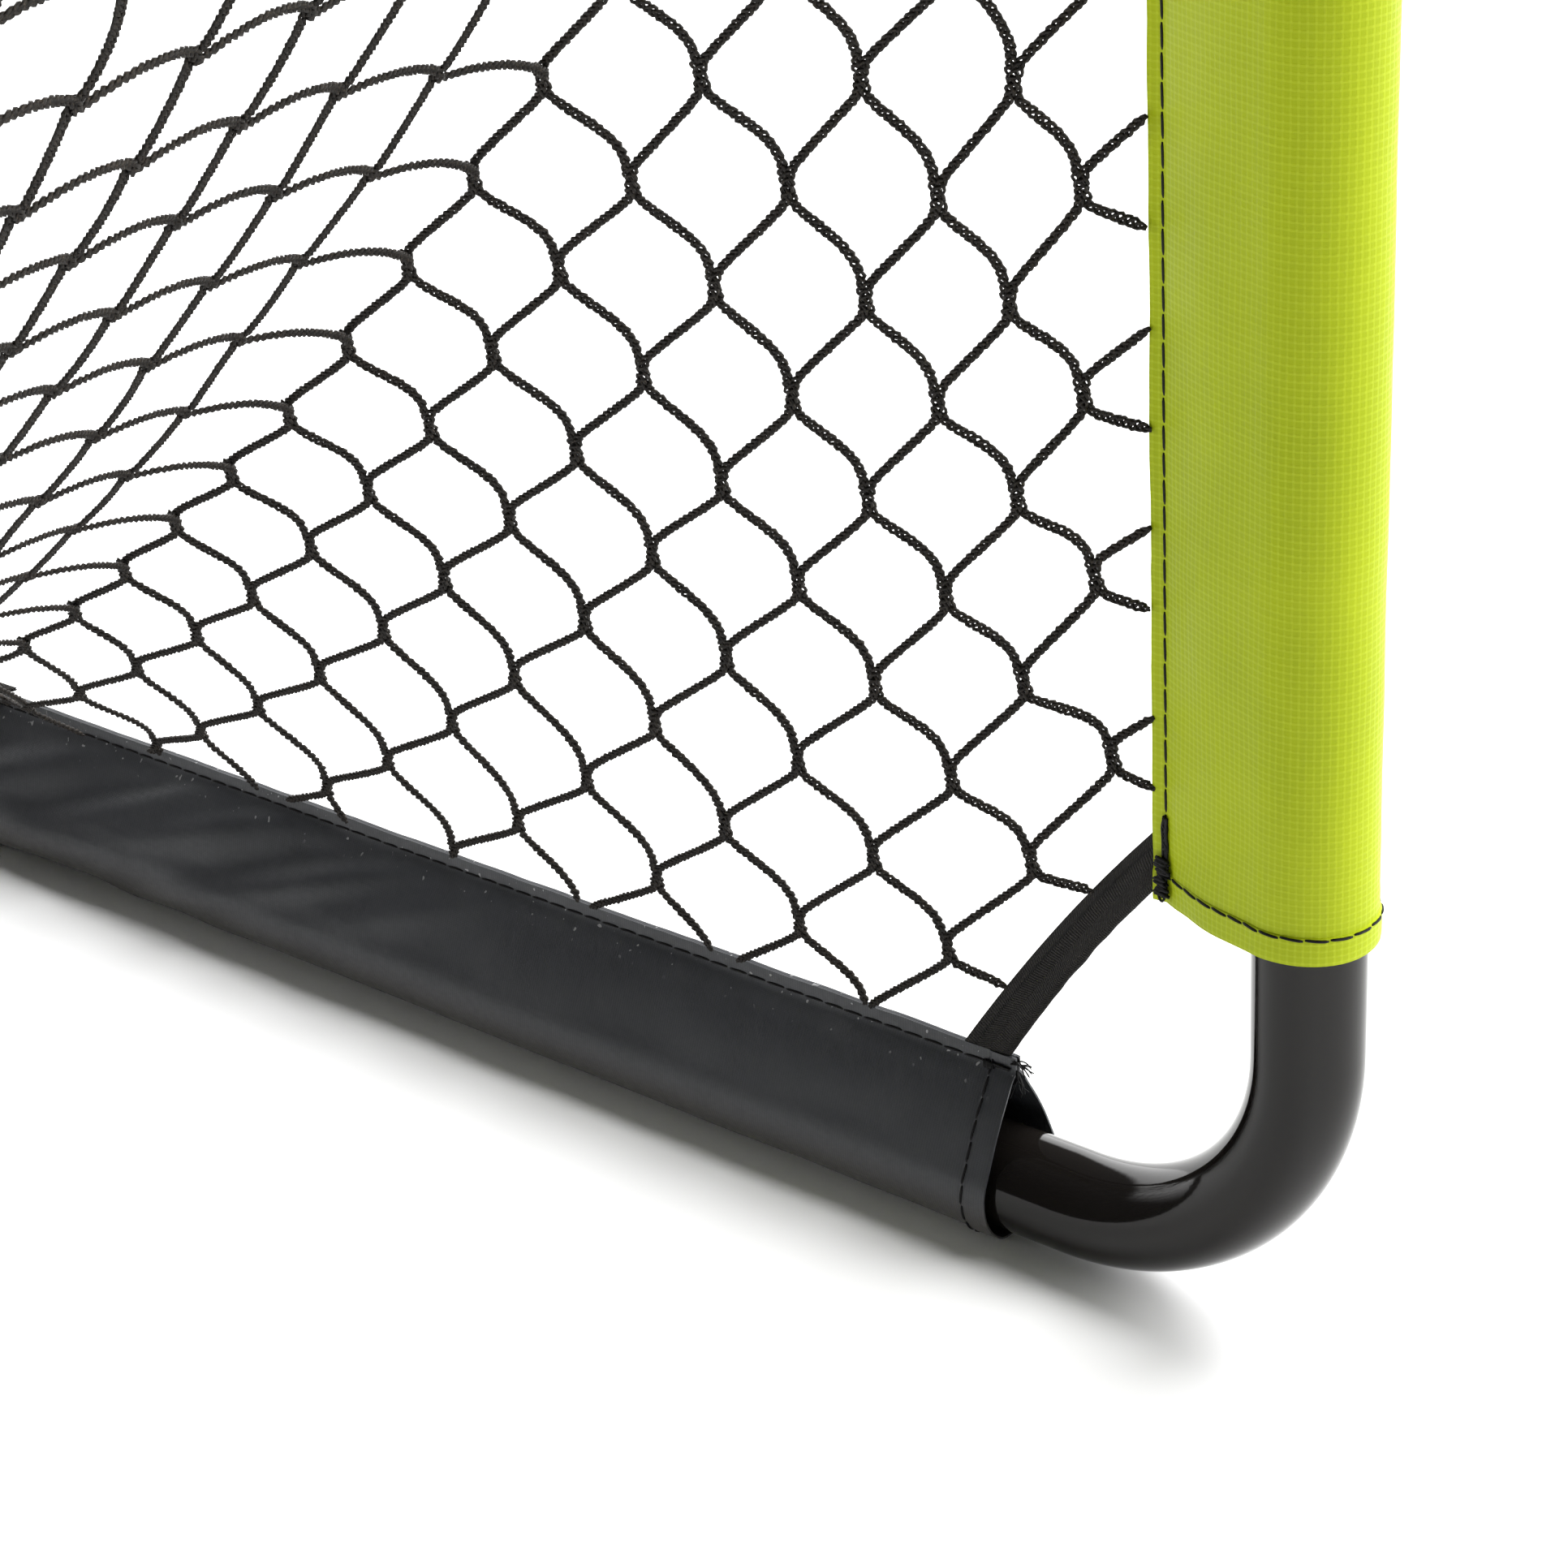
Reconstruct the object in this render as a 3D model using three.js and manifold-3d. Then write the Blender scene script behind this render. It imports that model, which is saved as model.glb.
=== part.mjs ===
// Free-standing ball rebounder: a goal-shaped frame of push-fit steel tubes,
// fabric sleeves over the tubes, and a netting bag sewn into the sleeve seams.
// Units are millimetres. +X is the width, -Y is the open front, +Z is up.
// The origin is on the floor, under the middle of the object's box.

import * as THREE from "three";
import { mergeVertices } from "three/addons/utils/BufferGeometryUtils.js";
import Module from "manifold-3d";

// ---------------------------------------------------------------- dimensions
const TUBE_R = 16;            // steel tube, outside radius
const TUBE_WALL = 1.2;        // tube wall
const SWAGE_R = 14.35;        // reduced end that plugs into the next tube
const BEND_R = 78;            // centreline radius of every corner bend
const POST_X = 581.5;         // post axis from the middle
const POST_Y = -340;          // post and crossbar axis plane
const REAR_Y = 340;           // rear ground bar axis
const GROUND_Z = 17.2;        // axis height of the ground bars
const TOP_Z = 672.5;          // axis height of the crossbar
const POST_JOINT_Z = 340;     // push-fit joint in each post
const SIDE_JOINT_Y = 0;       // push-fit joint in each side bar
const CROSS_JOINT_X = 300;    // push-fit joints in crossbar and rear bar
const PLUG = 45;              // length of the reduced end
const SHOULDER = 3.6;         // length of the taper to the reduced end
const SIDES = 18;             // facets around a tube

const SLEEVE_R = 18.5;        // fabric sleeve, outside radius on the tube
const SLEEVE_WALL = 1.0;      // folded cloth allowance
const POST_SEAM = 50.6;       // seam edge distance from the tube axis, front frame
const BAR_SEAM = 43;          // seam edge distance from the tube axis, side bars
const REAR_SEAM = 38.5;       // seam edge distance from the tube axis, rear bar
const SEAM_ALLOW = 5.5;       // both layers are sewn together over this width
const POST_HEM_Z = 131;       // lower hem of a post sleeve
const FRONT_BAR_HEM_S = 100;  // side sleeve start, behind the post axis
const REAR_HEM = 102;         // side and rear sleeve ends, from the corner
const TOP_HEM = 104;          // post and crossbar sleeve ends, from the top corner
const CROSS_DIR = [0.42, -0.9075];  // crossbar seam direction in Y, Z
const REAR_DIR = [-0.742, 0.671];  // rear bar seam direction in Y, Z

const NET_T = 3;              // cord thickness, used as the panel thickness
const TAPE_T = 1.6;           // binding tape, folded double
const BUTTON_R = 3.4;         // snap button pin
const BUTTON_HOLE_R = 3.8;
const BUTTON_IN = 22;         // pin position, from the mouth of the outer tube
const BUTTON_TOP = 18.3;      // top of the pin, from the tube axis

const wasm = await Module();
wasm.setup();

// ------------------------------------------------------------------ helpers
const V = (x, y, z) => new THREE.Vector3(x, y, z);

function toManifold(geometry) {
  const g = geometry.clone();
  g.deleteAttribute("normal");
  g.deleteAttribute("uv");
  const m = mergeVertices(g, 1e-4);
  return new wasm.Manifold(new wasm.Mesh({
    numProp: 3,
    vertProperties: new Float32Array(m.attributes.position.array),
    triVerts: new Uint32Array(m.index.array),
  }));
}

function fromManifold(solid) {
  const mesh = solid.getMesh();
  const g = new THREE.BufferGeometry();
  const n = mesh.numProp;
  const count = mesh.vertProperties.length / n;
  const pos = new Float32Array(count * 3);
  for (let i = 0; i < count; i++)
    for (let c = 0; c < 3; c++) pos[i * 3 + c] = mesh.vertProperties[i * n + c];
  g.setAttribute("position", new THREE.BufferAttribute(pos, 3));
  g.setIndex(new THREE.BufferAttribute(new Uint32Array(mesh.triVerts), 1));
  g.computeVertexNormals();
  return g;
}

function indexed(points, tris) {
  const g = new THREE.BufferGeometry();
  g.setAttribute("position", new THREE.Float32BufferAttribute(points.flatMap(p => [p.x, p.y, p.z]), 3));
  g.setIndex(tris.flat());
  g.computeVertexNormals();
  return g;
}

// A round tube with a bore, as rings along a centreline in one plane.
// stations: {p, t, ro, ri}; side is the unit normal of the centreline's plane.
function tubeGeometry(stations, side) {
  const pts = [], tris = [];
  const n = SIDES;
  for (const s of stations) {
    const t = s.t.clone().normalize();
    const u = side.clone();
    const v = t.clone().cross(u).normalize();
    for (const r of [s.ro, s.ri])
      for (let i = 0; i < n; i++) {
        const a = (2 * Math.PI * i) / n;
        pts.push(s.p.clone().addScaledVector(u, r * Math.cos(a)).addScaledVector(v, r * Math.sin(a)));
      }
  }
  const id = (k, layer, i) => k * 2 * n + layer * n + (i % n);
  const last = stations.length - 1;
  for (let k = 0; k < last; k++)
    for (let i = 0; i < n; i++) {
      tris.push([id(k, 0, i), id(k, 0, i + 1), id(k + 1, 0, i + 1)], [id(k, 0, i), id(k + 1, 0, i + 1), id(k + 1, 0, i)]);
      tris.push([id(k, 1, i), id(k + 1, 1, i + 1), id(k, 1, i + 1)], [id(k, 1, i), id(k + 1, 1, i), id(k + 1, 1, i + 1)]);
    }
  for (let i = 0; i < n; i++) {
    tris.push([id(0, 0, i), id(0, 1, i + 1), id(0, 0, i + 1)], [id(0, 0, i), id(0, 1, i), id(0, 1, i + 1)]);
    tris.push([id(last, 0, i), id(last, 0, i + 1), id(last, 1, i + 1)], [id(last, 0, i), id(last, 1, i + 1), id(last, 1, i)]);
  }
  return indexed(pts, tris);
}

// A thick sheet from a grid of points; offset(i, j) gives the half-thickness vector.
function sheetGeometry(grid, offset) {
  const ni = grid.length, nj = grid[0].length;
  const pts = [], tris = [];
  for (const sgn of [1, -1])
    for (let i = 0; i < ni; i++)
      for (let j = 0; j < nj; j++) pts.push(grid[i][j].clone().addScaledVector(offset(i, j), sgn));
  const id = (s, i, j) => s * ni * nj + i * nj + j;
  const quad = (a, b, c, d) => tris.push([a, b, c], [a, c, d]);
  for (let i = 0; i + 1 < ni; i++)
    for (let j = 0; j + 1 < nj; j++) {
      quad(id(0, i, j), id(0, i + 1, j), id(0, i + 1, j + 1), id(0, i, j + 1));
      quad(id(1, i, j), id(1, i, j + 1), id(1, i + 1, j + 1), id(1, i + 1, j));
    }
  for (let i = 0; i + 1 < ni; i++) {
    quad(id(0, i, 0), id(1, i, 0), id(1, i + 1, 0), id(0, i + 1, 0));
    quad(id(0, i + 1, nj - 1), id(1, i + 1, nj - 1), id(1, i, nj - 1), id(0, i, nj - 1));
  }
  for (let j = 0; j + 1 < nj; j++) {
    quad(id(0, 0, j + 1), id(1, 0, j + 1), id(1, 0, j), id(0, 0, j));
    quad(id(0, ni - 1, j), id(1, ni - 1, j), id(1, ni - 1, j + 1), id(0, ni - 1, j + 1));
  }
  let g = indexed(pts, tris);
  // Turn the faces outwards if the grid was listed the other way round.
  const p = g.attributes.position, ix = g.index;
  let vol = 0;
  const a = V(0, 0, 0), b = V(0, 0, 0), c = V(0, 0, 0);
  for (let k = 0; k < ix.count; k += 3) {
    a.fromBufferAttribute(p, ix.getX(k)); b.fromBufferAttribute(p, ix.getX(k + 1)); c.fromBufferAttribute(p, ix.getX(k + 2));
    vol += a.dot(b.clone().cross(c)) / 6;
  }
  if (vol < 0) g = indexed(pts, tris.map(([x, y, z]) => [x, z, y]));
  return g;
}

function mirrorX(geometry) {
  const g = geometry.clone();
  const p = g.attributes.position;
  for (let i = 0; i < p.count; i++) p.setX(i, -p.getX(i));
  if (g.index) {
    const ix = g.index;
    for (let k = 0; k < ix.count; k += 3) {
      const t = ix.getX(k + 1);
      ix.setX(k + 1, ix.getX(k + 2));
      ix.setX(k + 2, t);
    }
  }
  g.computeVertexNormals();
  return g;
}

const PAINT = () => new THREE.MeshStandardMaterial({ color: 0x0d0d0f, roughness: 0.12, metalness: 0.1 });
const LIME = () => new THREE.MeshStandardMaterial({ color: 0xbccd14, roughness: 0.55, metalness: 0 });
const CHARCOAL = () => new THREE.MeshStandardMaterial({ color: 0x31343a, roughness: 0.5, metalness: 0 });
const NET = () => new THREE.MeshStandardMaterial({ color: 0x1b1917, roughness: 0.8, metalness: 0 });
const TAPE = () => new THREE.MeshStandardMaterial({ color: 0x1a191a, roughness: 0.85, metalness: 0 });
const SPRING = () => new THREE.MeshStandardMaterial({ color: 0xa8abae, roughness: 0.3, metalness: 1 });

const root = new THREE.Group();
function add(name, geometry, material) {
  const mesh = new THREE.Mesh(geometry, material);
  mesh.name = name;
  root.add(mesh);
  return mesh;
}

// -------------------------------------------------------------------- tubes
const RI = TUBE_R - TUBE_WALL, SRI = SWAGE_R - TUBE_WALL;

// Stations of a tube from start to end with one bend at corner. An end is
// "plug" (reduced, and PLUG longer than the joint) or "socket" (full size).
function cornerStations(start, startKind, corner, end, endKind) {
  const d0 = corner.clone().sub(start).normalize();
  const d1 = end.clone().sub(corner).normalize();
  const st = [];
  if (startKind === "plug") {
    st.push({ p: start.clone().addScaledVector(d0, -PLUG), t: d0, ro: SWAGE_R, ri: SRI });
    st.push({ p: start.clone().addScaledVector(d0, 0.4), t: d0, ro: SWAGE_R, ri: SRI });
    st.push({ p: start.clone().addScaledVector(d0, 0.4 + SHOULDER), t: d0, ro: TUBE_R, ri: RI });
  } else st.push({ p: start.clone(), t: d0, ro: TUBE_R, ri: RI });
  const centre = corner.clone().addScaledVector(d0, -BEND_R).addScaledVector(d1, BEND_R);
  const steps = 8;
  for (let i = 0; i <= steps; i++) {
    const a = (Math.PI / 2) * (i / steps);
    st.push({
      p: centre.clone().addScaledVector(d1, -BEND_R * Math.cos(a)).addScaledVector(d0, BEND_R * Math.sin(a)),
      t: d0.clone().multiplyScalar(Math.cos(a)).addScaledVector(d1, Math.sin(a)),
      ro: TUBE_R, ri: RI,
    });
  }
  if (endKind === "plug") {
    st.push({ p: end.clone().addScaledVector(d1, -0.4 - SHOULDER), t: d1, ro: TUBE_R, ri: RI });
    st.push({ p: end.clone().addScaledVector(d1, -0.4), t: d1, ro: SWAGE_R, ri: SRI });
    st.push({ p: end.clone().addScaledVector(d1, PLUG), t: d1, ro: SWAGE_R, ri: SRI });
  } else st.push({ p: end.clone(), t: d1, ro: TUBE_R, ri: RI });
  return { st, side: d0.clone().cross(d1).normalize() };
}

// Each joint: point on the axis at the outer tube's mouth, the direction into
// the outer tube, and the direction the button points.
const JOINTS = {
  post: { p: V(POST_X, POST_Y, POST_JOINT_Z), into: V(0, 0, 1), out: V(0, 1, 0) },
  side: { p: V(POST_X, SIDE_JOINT_Y, GROUND_Z), into: V(0, -1, 0), out: V(0, 0, 1) },
  crossbar: { p: V(CROSS_JOINT_X, POST_Y, TOP_Z), into: V(-1, 0, 0), out: V(0, CROSS_DIR[0], CROSS_DIR[1]) },
  rear: { p: V(CROSS_JOINT_X, REAR_Y, GROUND_Z), into: V(-1, 0, 0), out: V(0, REAR_DIR[0], REAR_DIR[1]) },
};
for (const j of Object.values(JOINTS)) {
  j.out.normalize();
  j.pin = j.p.clone().addScaledVector(j.into, BUTTON_IN);
}

function drill(geometry, joints) {
  let solid = toManifold(geometry);
  for (const j of joints) {
    const cut = new THREE.CylinderGeometry(BUTTON_HOLE_R, BUTTON_HOLE_R, 20, 16);
    const q = new THREE.Quaternion().setFromUnitVectors(V(0, 1, 0), j.out);
    cut.applyQuaternion(q);
    const c = j.pin.clone().addScaledVector(j.out, 14);
    cut.translate(c.x, c.y, c.z);
    solid = solid.subtract(toManifold(cut));
  }
  return fromManifold(solid);
}
const flipJoint = j => ({ ...j, p: V(-j.p.x, j.p.y, j.p.z), pin: V(-j.pin.x, j.pin.y, j.pin.z) });

const frontCorner = (() => {
  const { st, side } = cornerStations(JOINTS.post.p, "plug", V(POST_X, POST_Y, GROUND_Z), JOINTS.side.p, "socket");
  return drill(tubeGeometry(st, side), [JOINTS.post, JOINTS.side]);
})();
const topCorner = (() => {
  const { st, side } = cornerStations(JOINTS.post.p, "socket", V(POST_X, POST_Y, TOP_Z), JOINTS.crossbar.p, "plug");
  return drill(tubeGeometry(st, side), [JOINTS.post, JOINTS.crossbar]);
})();
const rearCorner = (() => {
  const { st, side } = cornerStations(JOINTS.side.p, "plug", V(POST_X, REAR_Y, GROUND_Z), JOINTS.rear.p, "plug");
  return drill(tubeGeometry(st, side), [JOINTS.side, JOINTS.rear]);
})();
function straightTube(joint) {
  const t = V(-1, 0, 0);
  const st = [joint.p, flipJoint(joint).p].map(p => ({ p: p.clone(), t, ro: TUBE_R, ri: RI }));
  return drill(tubeGeometry(st, V(0, 0, 1)), [joint, flipJoint(joint)]);
}

add("front_right_corner_tube", frontCorner, PAINT());
add("front_left_corner_tube", mirrorX(frontCorner), PAINT());
add("top_right_corner_tube", topCorner, PAINT());
add("top_left_corner_tube", mirrorX(topCorner), PAINT());
add("rear_right_corner_tube", rearCorner, PAINT());
add("rear_left_corner_tube", mirrorX(rearCorner), PAINT());
add("crossbar_tube", straightTube(JOINTS.crossbar), PAINT());
add("rear_bar_tube", straightTube(JOINTS.rear), PAINT());

// ------------------------------------------------- snap buttons and springs
// Local frame: x along the tube towards the plug tube's body, z out of the tube.
const pinProfile = [
  [0, 11.6], [BUTTON_R, 11.6], [BUTTON_R, BUTTON_TOP - 1.6], [2.5, BUTTON_TOP - 0.6], [1.2, BUTTON_TOP - 0.1], [0, BUTTON_TOP],
].map(([r, y]) => new THREE.Vector2(r, y));
const pin = new THREE.LatheGeometry(pinProfile, 16);
pin.rotateX(Math.PI / 2);
const arm = new THREE.BoxGeometry(25, 8, 0.8);
arm.translate(7.5, 0, 11.8);
const buttonLocal = fromManifold(toManifold(pin).add(toManifold(arm)));

const SPRING_MID = 11.8, SPRING_HALF = 0.4, SPRING_X = 20.4;
const strip = new THREE.Shape();
strip.moveTo(SPRING_X, SPRING_MID + SPRING_HALF);
for (let i = 0; i <= 10; i++) {
  const a = Math.PI / 2 - (Math.PI * i) / 10;
  strip.lineTo(SPRING_X + (SPRING_MID + SPRING_HALF) * Math.cos(a), (SPRING_MID + SPRING_HALF) * Math.sin(a));
}
strip.lineTo(-5, -SPRING_MID - SPRING_HALF);
strip.lineTo(-5, -SPRING_MID + SPRING_HALF);
for (let i = 10; i >= 0; i--) {
  const a = Math.PI / 2 - (Math.PI * i) / 10;
  strip.lineTo(SPRING_X + (SPRING_MID - SPRING_HALF) * Math.cos(a), (SPRING_MID - SPRING_HALF) * Math.sin(a));
}
const springLocal = new THREE.ExtrudeGeometry(strip, { depth: 8, bevelEnabled: false, steps: 1 });
springLocal.translate(0, 0, -4);
springLocal.rotateX(Math.PI / 2);

function placed(geometry, j) {
  const ex = j.into.clone().negate(), ez = j.out.clone();
  const ey = ez.clone().cross(ex);
  const m = new THREE.Matrix4().makeBasis(ex, ey, ez).setPosition(j.pin);
  return geometry.clone().applyMatrix4(m);
}
for (const [name, j] of Object.entries(JOINTS)) {
  const b = placed(buttonLocal, j), s = placed(springLocal, j);
  add(name + "_right_snap_button", b, SPRING());
  add(name + "_left_snap_button", mirrorX(mergeVertices(b)), SPRING());
  add(name + "_right_button_spring", s, SPRING());
  const sm = s.clone(); sm.deleteAttribute("normal"); sm.deleteAttribute("uv");
  add(name + "_left_button_spring", mirrorX(mergeVertices(sm)), SPRING());
}

// ------------------------------------------------------------------ sleeves
// Drop-shaped section: round on the tube, running out to a sewn edge at +u.
// floor, where given, flattens the underside that is pressed on the ground.
function dropPoints(r, seam, tip, floor) {
  const phi = Math.acos(r / seam);
  const pts = [[seam, tip]];
  const n = 22;
  for (let i = 0; i <= n; i++) {
    const a = phi + (2 * Math.PI - 2 * phi) * (i / n);
    let x = r * Math.cos(a);
    if (floor !== undefined) x = Math.max(x, -floor);
    pts.push([x, r * Math.sin(a)]);
  }
  pts.push([seam, -tip]);
  return pts;
}
function sleeveGeometry(seam, length, floor) {
  const shape = new THREE.Shape(dropPoints(SLEEVE_R, seam, 0.9, floor).map(p => new THREE.Vector2(...p)));
  const hole = dropPoints(SLEEVE_R - SLEEVE_WALL, seam - SEAM_ALLOW, 0.2, floor === undefined ? undefined : floor - 0.8);
  shape.holes.push(new THREE.Path(hole.reverse().map(p => new THREE.Vector2(...p))));
  return new THREE.ExtrudeGeometry(shape, { depth: length, bevelEnabled: false, steps: 1 });
}
// Places a sleeve: u is the seam direction, w runs along the tube from "from".
function placeSleeve(geometry, from, u, w) {
  const uu = u.clone().normalize(), ww = w.clone().normalize();
  const m = new THREE.Matrix4().makeBasis(uu, ww.clone().cross(uu), ww).setPosition(from);
  return geometry.clone().applyMatrix4(m);
}
const postTop = TOP_Z - TOP_HEM;
const postSleeve = placeSleeve(sleeveGeometry(POST_SEAM, postTop - POST_HEM_Z), V(POST_X, POST_Y, POST_HEM_Z), V(0, 1, 0), V(0, 0, 1));
add("right_post_sleeve", postSleeve, LIME());
add("left_post_sleeve", placeSleeve(sleeveGeometry(POST_SEAM, postTop - POST_HEM_Z), V(-POST_X, POST_Y, POST_HEM_Z), V(0, 1, 0), V(0, 0, 1)), LIME());
const crossHalf = POST_X - TOP_HEM;
add("crossbar_sleeve", placeSleeve(sleeveGeometry(POST_SEAM, 2 * crossHalf), V(-crossHalf, POST_Y, TOP_Z), V(0, CROSS_DIR[0], CROSS_DIR[1]), V(1, 0, 0)), LIME());
const sideStart = POST_Y + FRONT_BAR_HEM_S, sideEnd = REAR_Y - REAR_HEM;
for (const [name, x] of [["right_side_sleeve", POST_X], ["left_side_sleeve", -POST_X]])
  add(name, placeSleeve(sleeveGeometry(BAR_SEAM, sideEnd - sideStart, GROUND_Z), V(x, sideStart, GROUND_Z), V(0, 0, 1), V(0, 1, 0)), CHARCOAL());
// The rear sleeve's seam leans forward, so its section is flattened after placing.
const rearHalf = POST_X - REAR_HEM;
const rearSleeve = (() => {
  const u = V(0, REAR_DIR[0], REAR_DIR[1]).normalize();
  const make = (r, seam, tip, floorZ) => {
    const shape = new THREE.Shape(dropPoints(r, seam, tip).map(([a, b]) => {
      // section in world Y, Z about the bar axis, with the underside pressed flat
      const y = a * u.y - b * u.z;
      const z = Math.max(a * u.z + b * u.y, -floorZ);
      return new THREE.Vector2(y, z);
    }));
    return shape;
  };
  const outer = make(SLEEVE_R, REAR_SEAM, 0.9, GROUND_Z);
  const inner = make(SLEEVE_R - SLEEVE_WALL, REAR_SEAM - SEAM_ALLOW, 0.2, GROUND_Z - 0.8);
  const pts = inner.getPoints();
  pts.reverse();
  outer.holes.push(new THREE.Path(pts));
  const g = new THREE.ExtrudeGeometry(outer, { depth: 2 * rearHalf, bevelEnabled: false, steps: 1 });
  const m = new THREE.Matrix4().makeBasis(V(0, 1, 0), V(0, 0, 1), V(1, 0, 0)).setPosition(V(-rearHalf, REAR_Y, GROUND_Z));
  return g.applyMatrix4(m);
})();
add("rear_bar_sleeve", rearSleeve, CHARCOAL());

// ------------------------------------------------------------- corner tapes
// A tape bridges two sleeve ends. a and b are its edge lines, from one seam to
// the other; bow pulls the middle of each line towards the corner.
function tapeGeometry(a0, a1, b0, b1, bowA, bowB) {
  const steps = 8, grid = [];
  for (let i = 0; i <= steps; i++) {
    const t = i / steps, k = 4 * t * (1 - t);
    const pa = a0.clone().lerp(a1, t).addScaledVector(bowA, k);
    const pb = b0.clone().lerp(b1, t).addScaledVector(bowB, k);
    grid.push([pa, pb]);
  }
  const offset = (i) => {
    const p = grid[Math.max(i - 1, 0)], q = grid[Math.min(i + 1, steps)];
    const along = q[0].clone().add(q[1]).sub(p[0]).sub(p[1]);
    const across = grid[i][1].clone().sub(grid[i][0]);
    return along.cross(across).normalize().multiplyScalar(TAPE_T / 2);
  };
  return sheetGeometry(grid, offset);
}
const SEAM_GAP = 0.6;
const postSeamY = POST_Y + POST_SEAM + SEAM_GAP;
const barSeamZ = GROUND_Z + BAR_SEAM + SEAM_GAP;
const crossSeam = V(0, POST_Y + (POST_SEAM + SEAM_GAP) * CROSS_DIR[0], TOP_Z + (POST_SEAM + SEAM_GAP) * CROSS_DIR[1]);
const rearSeam = V(0, REAR_Y + (REAR_SEAM + SEAM_GAP) * REAR_DIR[0], GROUND_Z + (REAR_SEAM + SEAM_GAP) * REAR_DIR[1]);

const frontTape = tapeGeometry(
  V(POST_X, postSeamY, 150), V(POST_X, POST_Y + 118.7, barSeamZ),
  V(POST_X, postSeamY, 131.5), V(POST_X, POST_Y + 102, barSeamZ),
  V(0, 0, 5.5), V(0, 0, 2.7));
const topTape = tapeGeometry(
  V(POST_X - 0.6, postSeamY + 0.9, postTop - 19), V(crossHalf - 17, crossSeam.y + 0.5, crossSeam.z - 0.9),
  V(POST_X - 0.6, postSeamY + 0.9, postTop - 0.5), V(crossHalf - 1, crossSeam.y + 0.5, crossSeam.z - 0.9),
  V(3, 0, 5), V(3, 0, 3));
const rearTape = tapeGeometry(
  V(POST_X - 0.6, sideEnd - 17, barSeamZ + 0.9), V(rearHalf - 17, rearSeam.y - 0.9, rearSeam.z + 0.5),
  V(POST_X - 0.6, sideEnd - 1, barSeamZ + 0.9), V(rearHalf - 1, rearSeam.y - 0.9, rearSeam.z + 0.5),
  V(3, 5.5, -1.5), V(3, 3.5, -1.5));
for (const [name, g] of [["front", frontTape], ["top", topTape], ["rear", rearTape]]) {
  add(name + "_right_corner_tape", g, TAPE());
  add(name + "_left_corner_tape", mirrorX(g), TAPE());
}

// ---------------------------------------------------------------------- net
// The fold cord runs from the top corner tape to the rear corner tape, and the
// side and back panels meet on it. Points are x, distance behind the posts, z.
const fold = new THREE.CatmullRomCurve3([
  [522, 38, 582], [524, 74, 526], [528, 130, 451], [531, 213, 355], [531.5, 272, 293], [531.5, 332, 234], [531.5, 393, 184],
  [531, 450, 140], [528, 515, 99], [523, 594, 58],
].map(([x, s, z]) => V(x, POST_Y + s, z)), false, "centripetal");
// Lines down the back panel, from the crossbar seam to the rear seam: beside
// the fold, and in the middle of the width.
const line = pts => new THREE.CatmullRomCurve3(pts.map(([s, z]) => V(0, POST_Y + s, z)), false, "centripetal");
const beside = line([[25, 615], [66, 542], [118, 470], [165, 416], [217, 359], [288, 288], [361, 221], [439, 159], [504, 116], [560, 83], [645, 47.5]]);
const middle = line([[23, 623.5], [44, 571], [73, 511], [107, 455], [145, 406], [203, 347], [281, 281], [358, 218], [453, 145], [540, 93], [648, 45.5]]);

const BACK_I = 14;
// columns: share of the half width, and how much of it follows the line beside the fold
const BACK_T = [[-1, 1], [-0.92, 1], [-0.8, 0.85], [-0.55, 0.12], [-0.25, 0], [0, 0], [0.25, 0], [0.55, 0.12], [0.8, 0.85], [0.92, 1], [1, 1]];
const BACK_J = BACK_T.length - 1;
const backGrid = [];
for (let i = 0; i <= BACK_I; i++) {
  const f = fold.getPointAt(i / BACK_I), b = beside.getPointAt(i / BACK_I), c = middle.getPointAt(i / BACK_I);
  const row = [];
  for (let j = 0; j <= BACK_J; j++) {
    const [t, k] = BACK_T[j];
    const p = Math.abs(t) === 1 ? f : c.clone().lerp(b, k);
    row.push(V((f.x - 3.2) * t, p.y, p.z));
  }
  backGrid.push(row);
}
const backOffset = i => {
  const p = backGrid[Math.max(i - 1, 0)][BACK_J / 2], q = backGrid[Math.min(i + 1, BACK_I)][BACK_J / 2];
  return V(0, q.y - p.y, q.z - p.z).cross(V(1, 0, 0)).normalize().multiplyScalar(NET_T / 2);
};
add("back_net", sheetGeometry(backGrid, backOffset), NET());

// The side panel fills the space between the fold, the post seam, the corner
// tape and the side bar seam.
const edgeLine = new THREE.CurvePath();
const CLEAR = 1.6;
const edgePts = [
  V(POST_X, postSeamY + CLEAR, postTop - 24), V(POST_X, postSeamY + CLEAR, 157),
  V(POST_X, POST_Y + 122, barSeamZ + 6), V(POST_X, POST_Y + 132, barSeamZ + CLEAR), V(POST_X, sideEnd - 21, barSeamZ + CLEAR),
];
edgePts.splice(2, 0, V(POST_X, POST_Y + 91, 107));
for (let i = 0; i + 1 < edgePts.length; i++) edgeLine.add(new THREE.LineCurve3(edgePts[i], edgePts[i + 1]));
const SIDE_I = 16, SIDE_J = 4;
const sideGrid = [];
for (let i = 0; i <= SIDE_I; i++) {
  const t = i / SIDE_I;
  const f = fold.getPointAt(0.004 + 0.992 * t).clone(), e = edgeLine.getPointAt(t);
  const row = [];
  for (let j = 0; j <= SIDE_J; j++) {
    const k = j / SIDE_J, p = f.clone().lerp(e, k);
    p.x = f.x + 2.2 + (e.x - f.x - 2.2) * k;
    if (j === 0) p.addScaledVector(e.clone().sub(f).normalize(), 1.5);
    row.push(p);
  }
  sideGrid.push(row);
}
const sideNet = sheetGeometry(sideGrid, () => V(NET_T / 2 - 0.3, 0, 0));
add("right_side_net", sideNet, NET());
add("left_side_net", mirrorX(sideNet), NET());

export default root;
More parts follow.
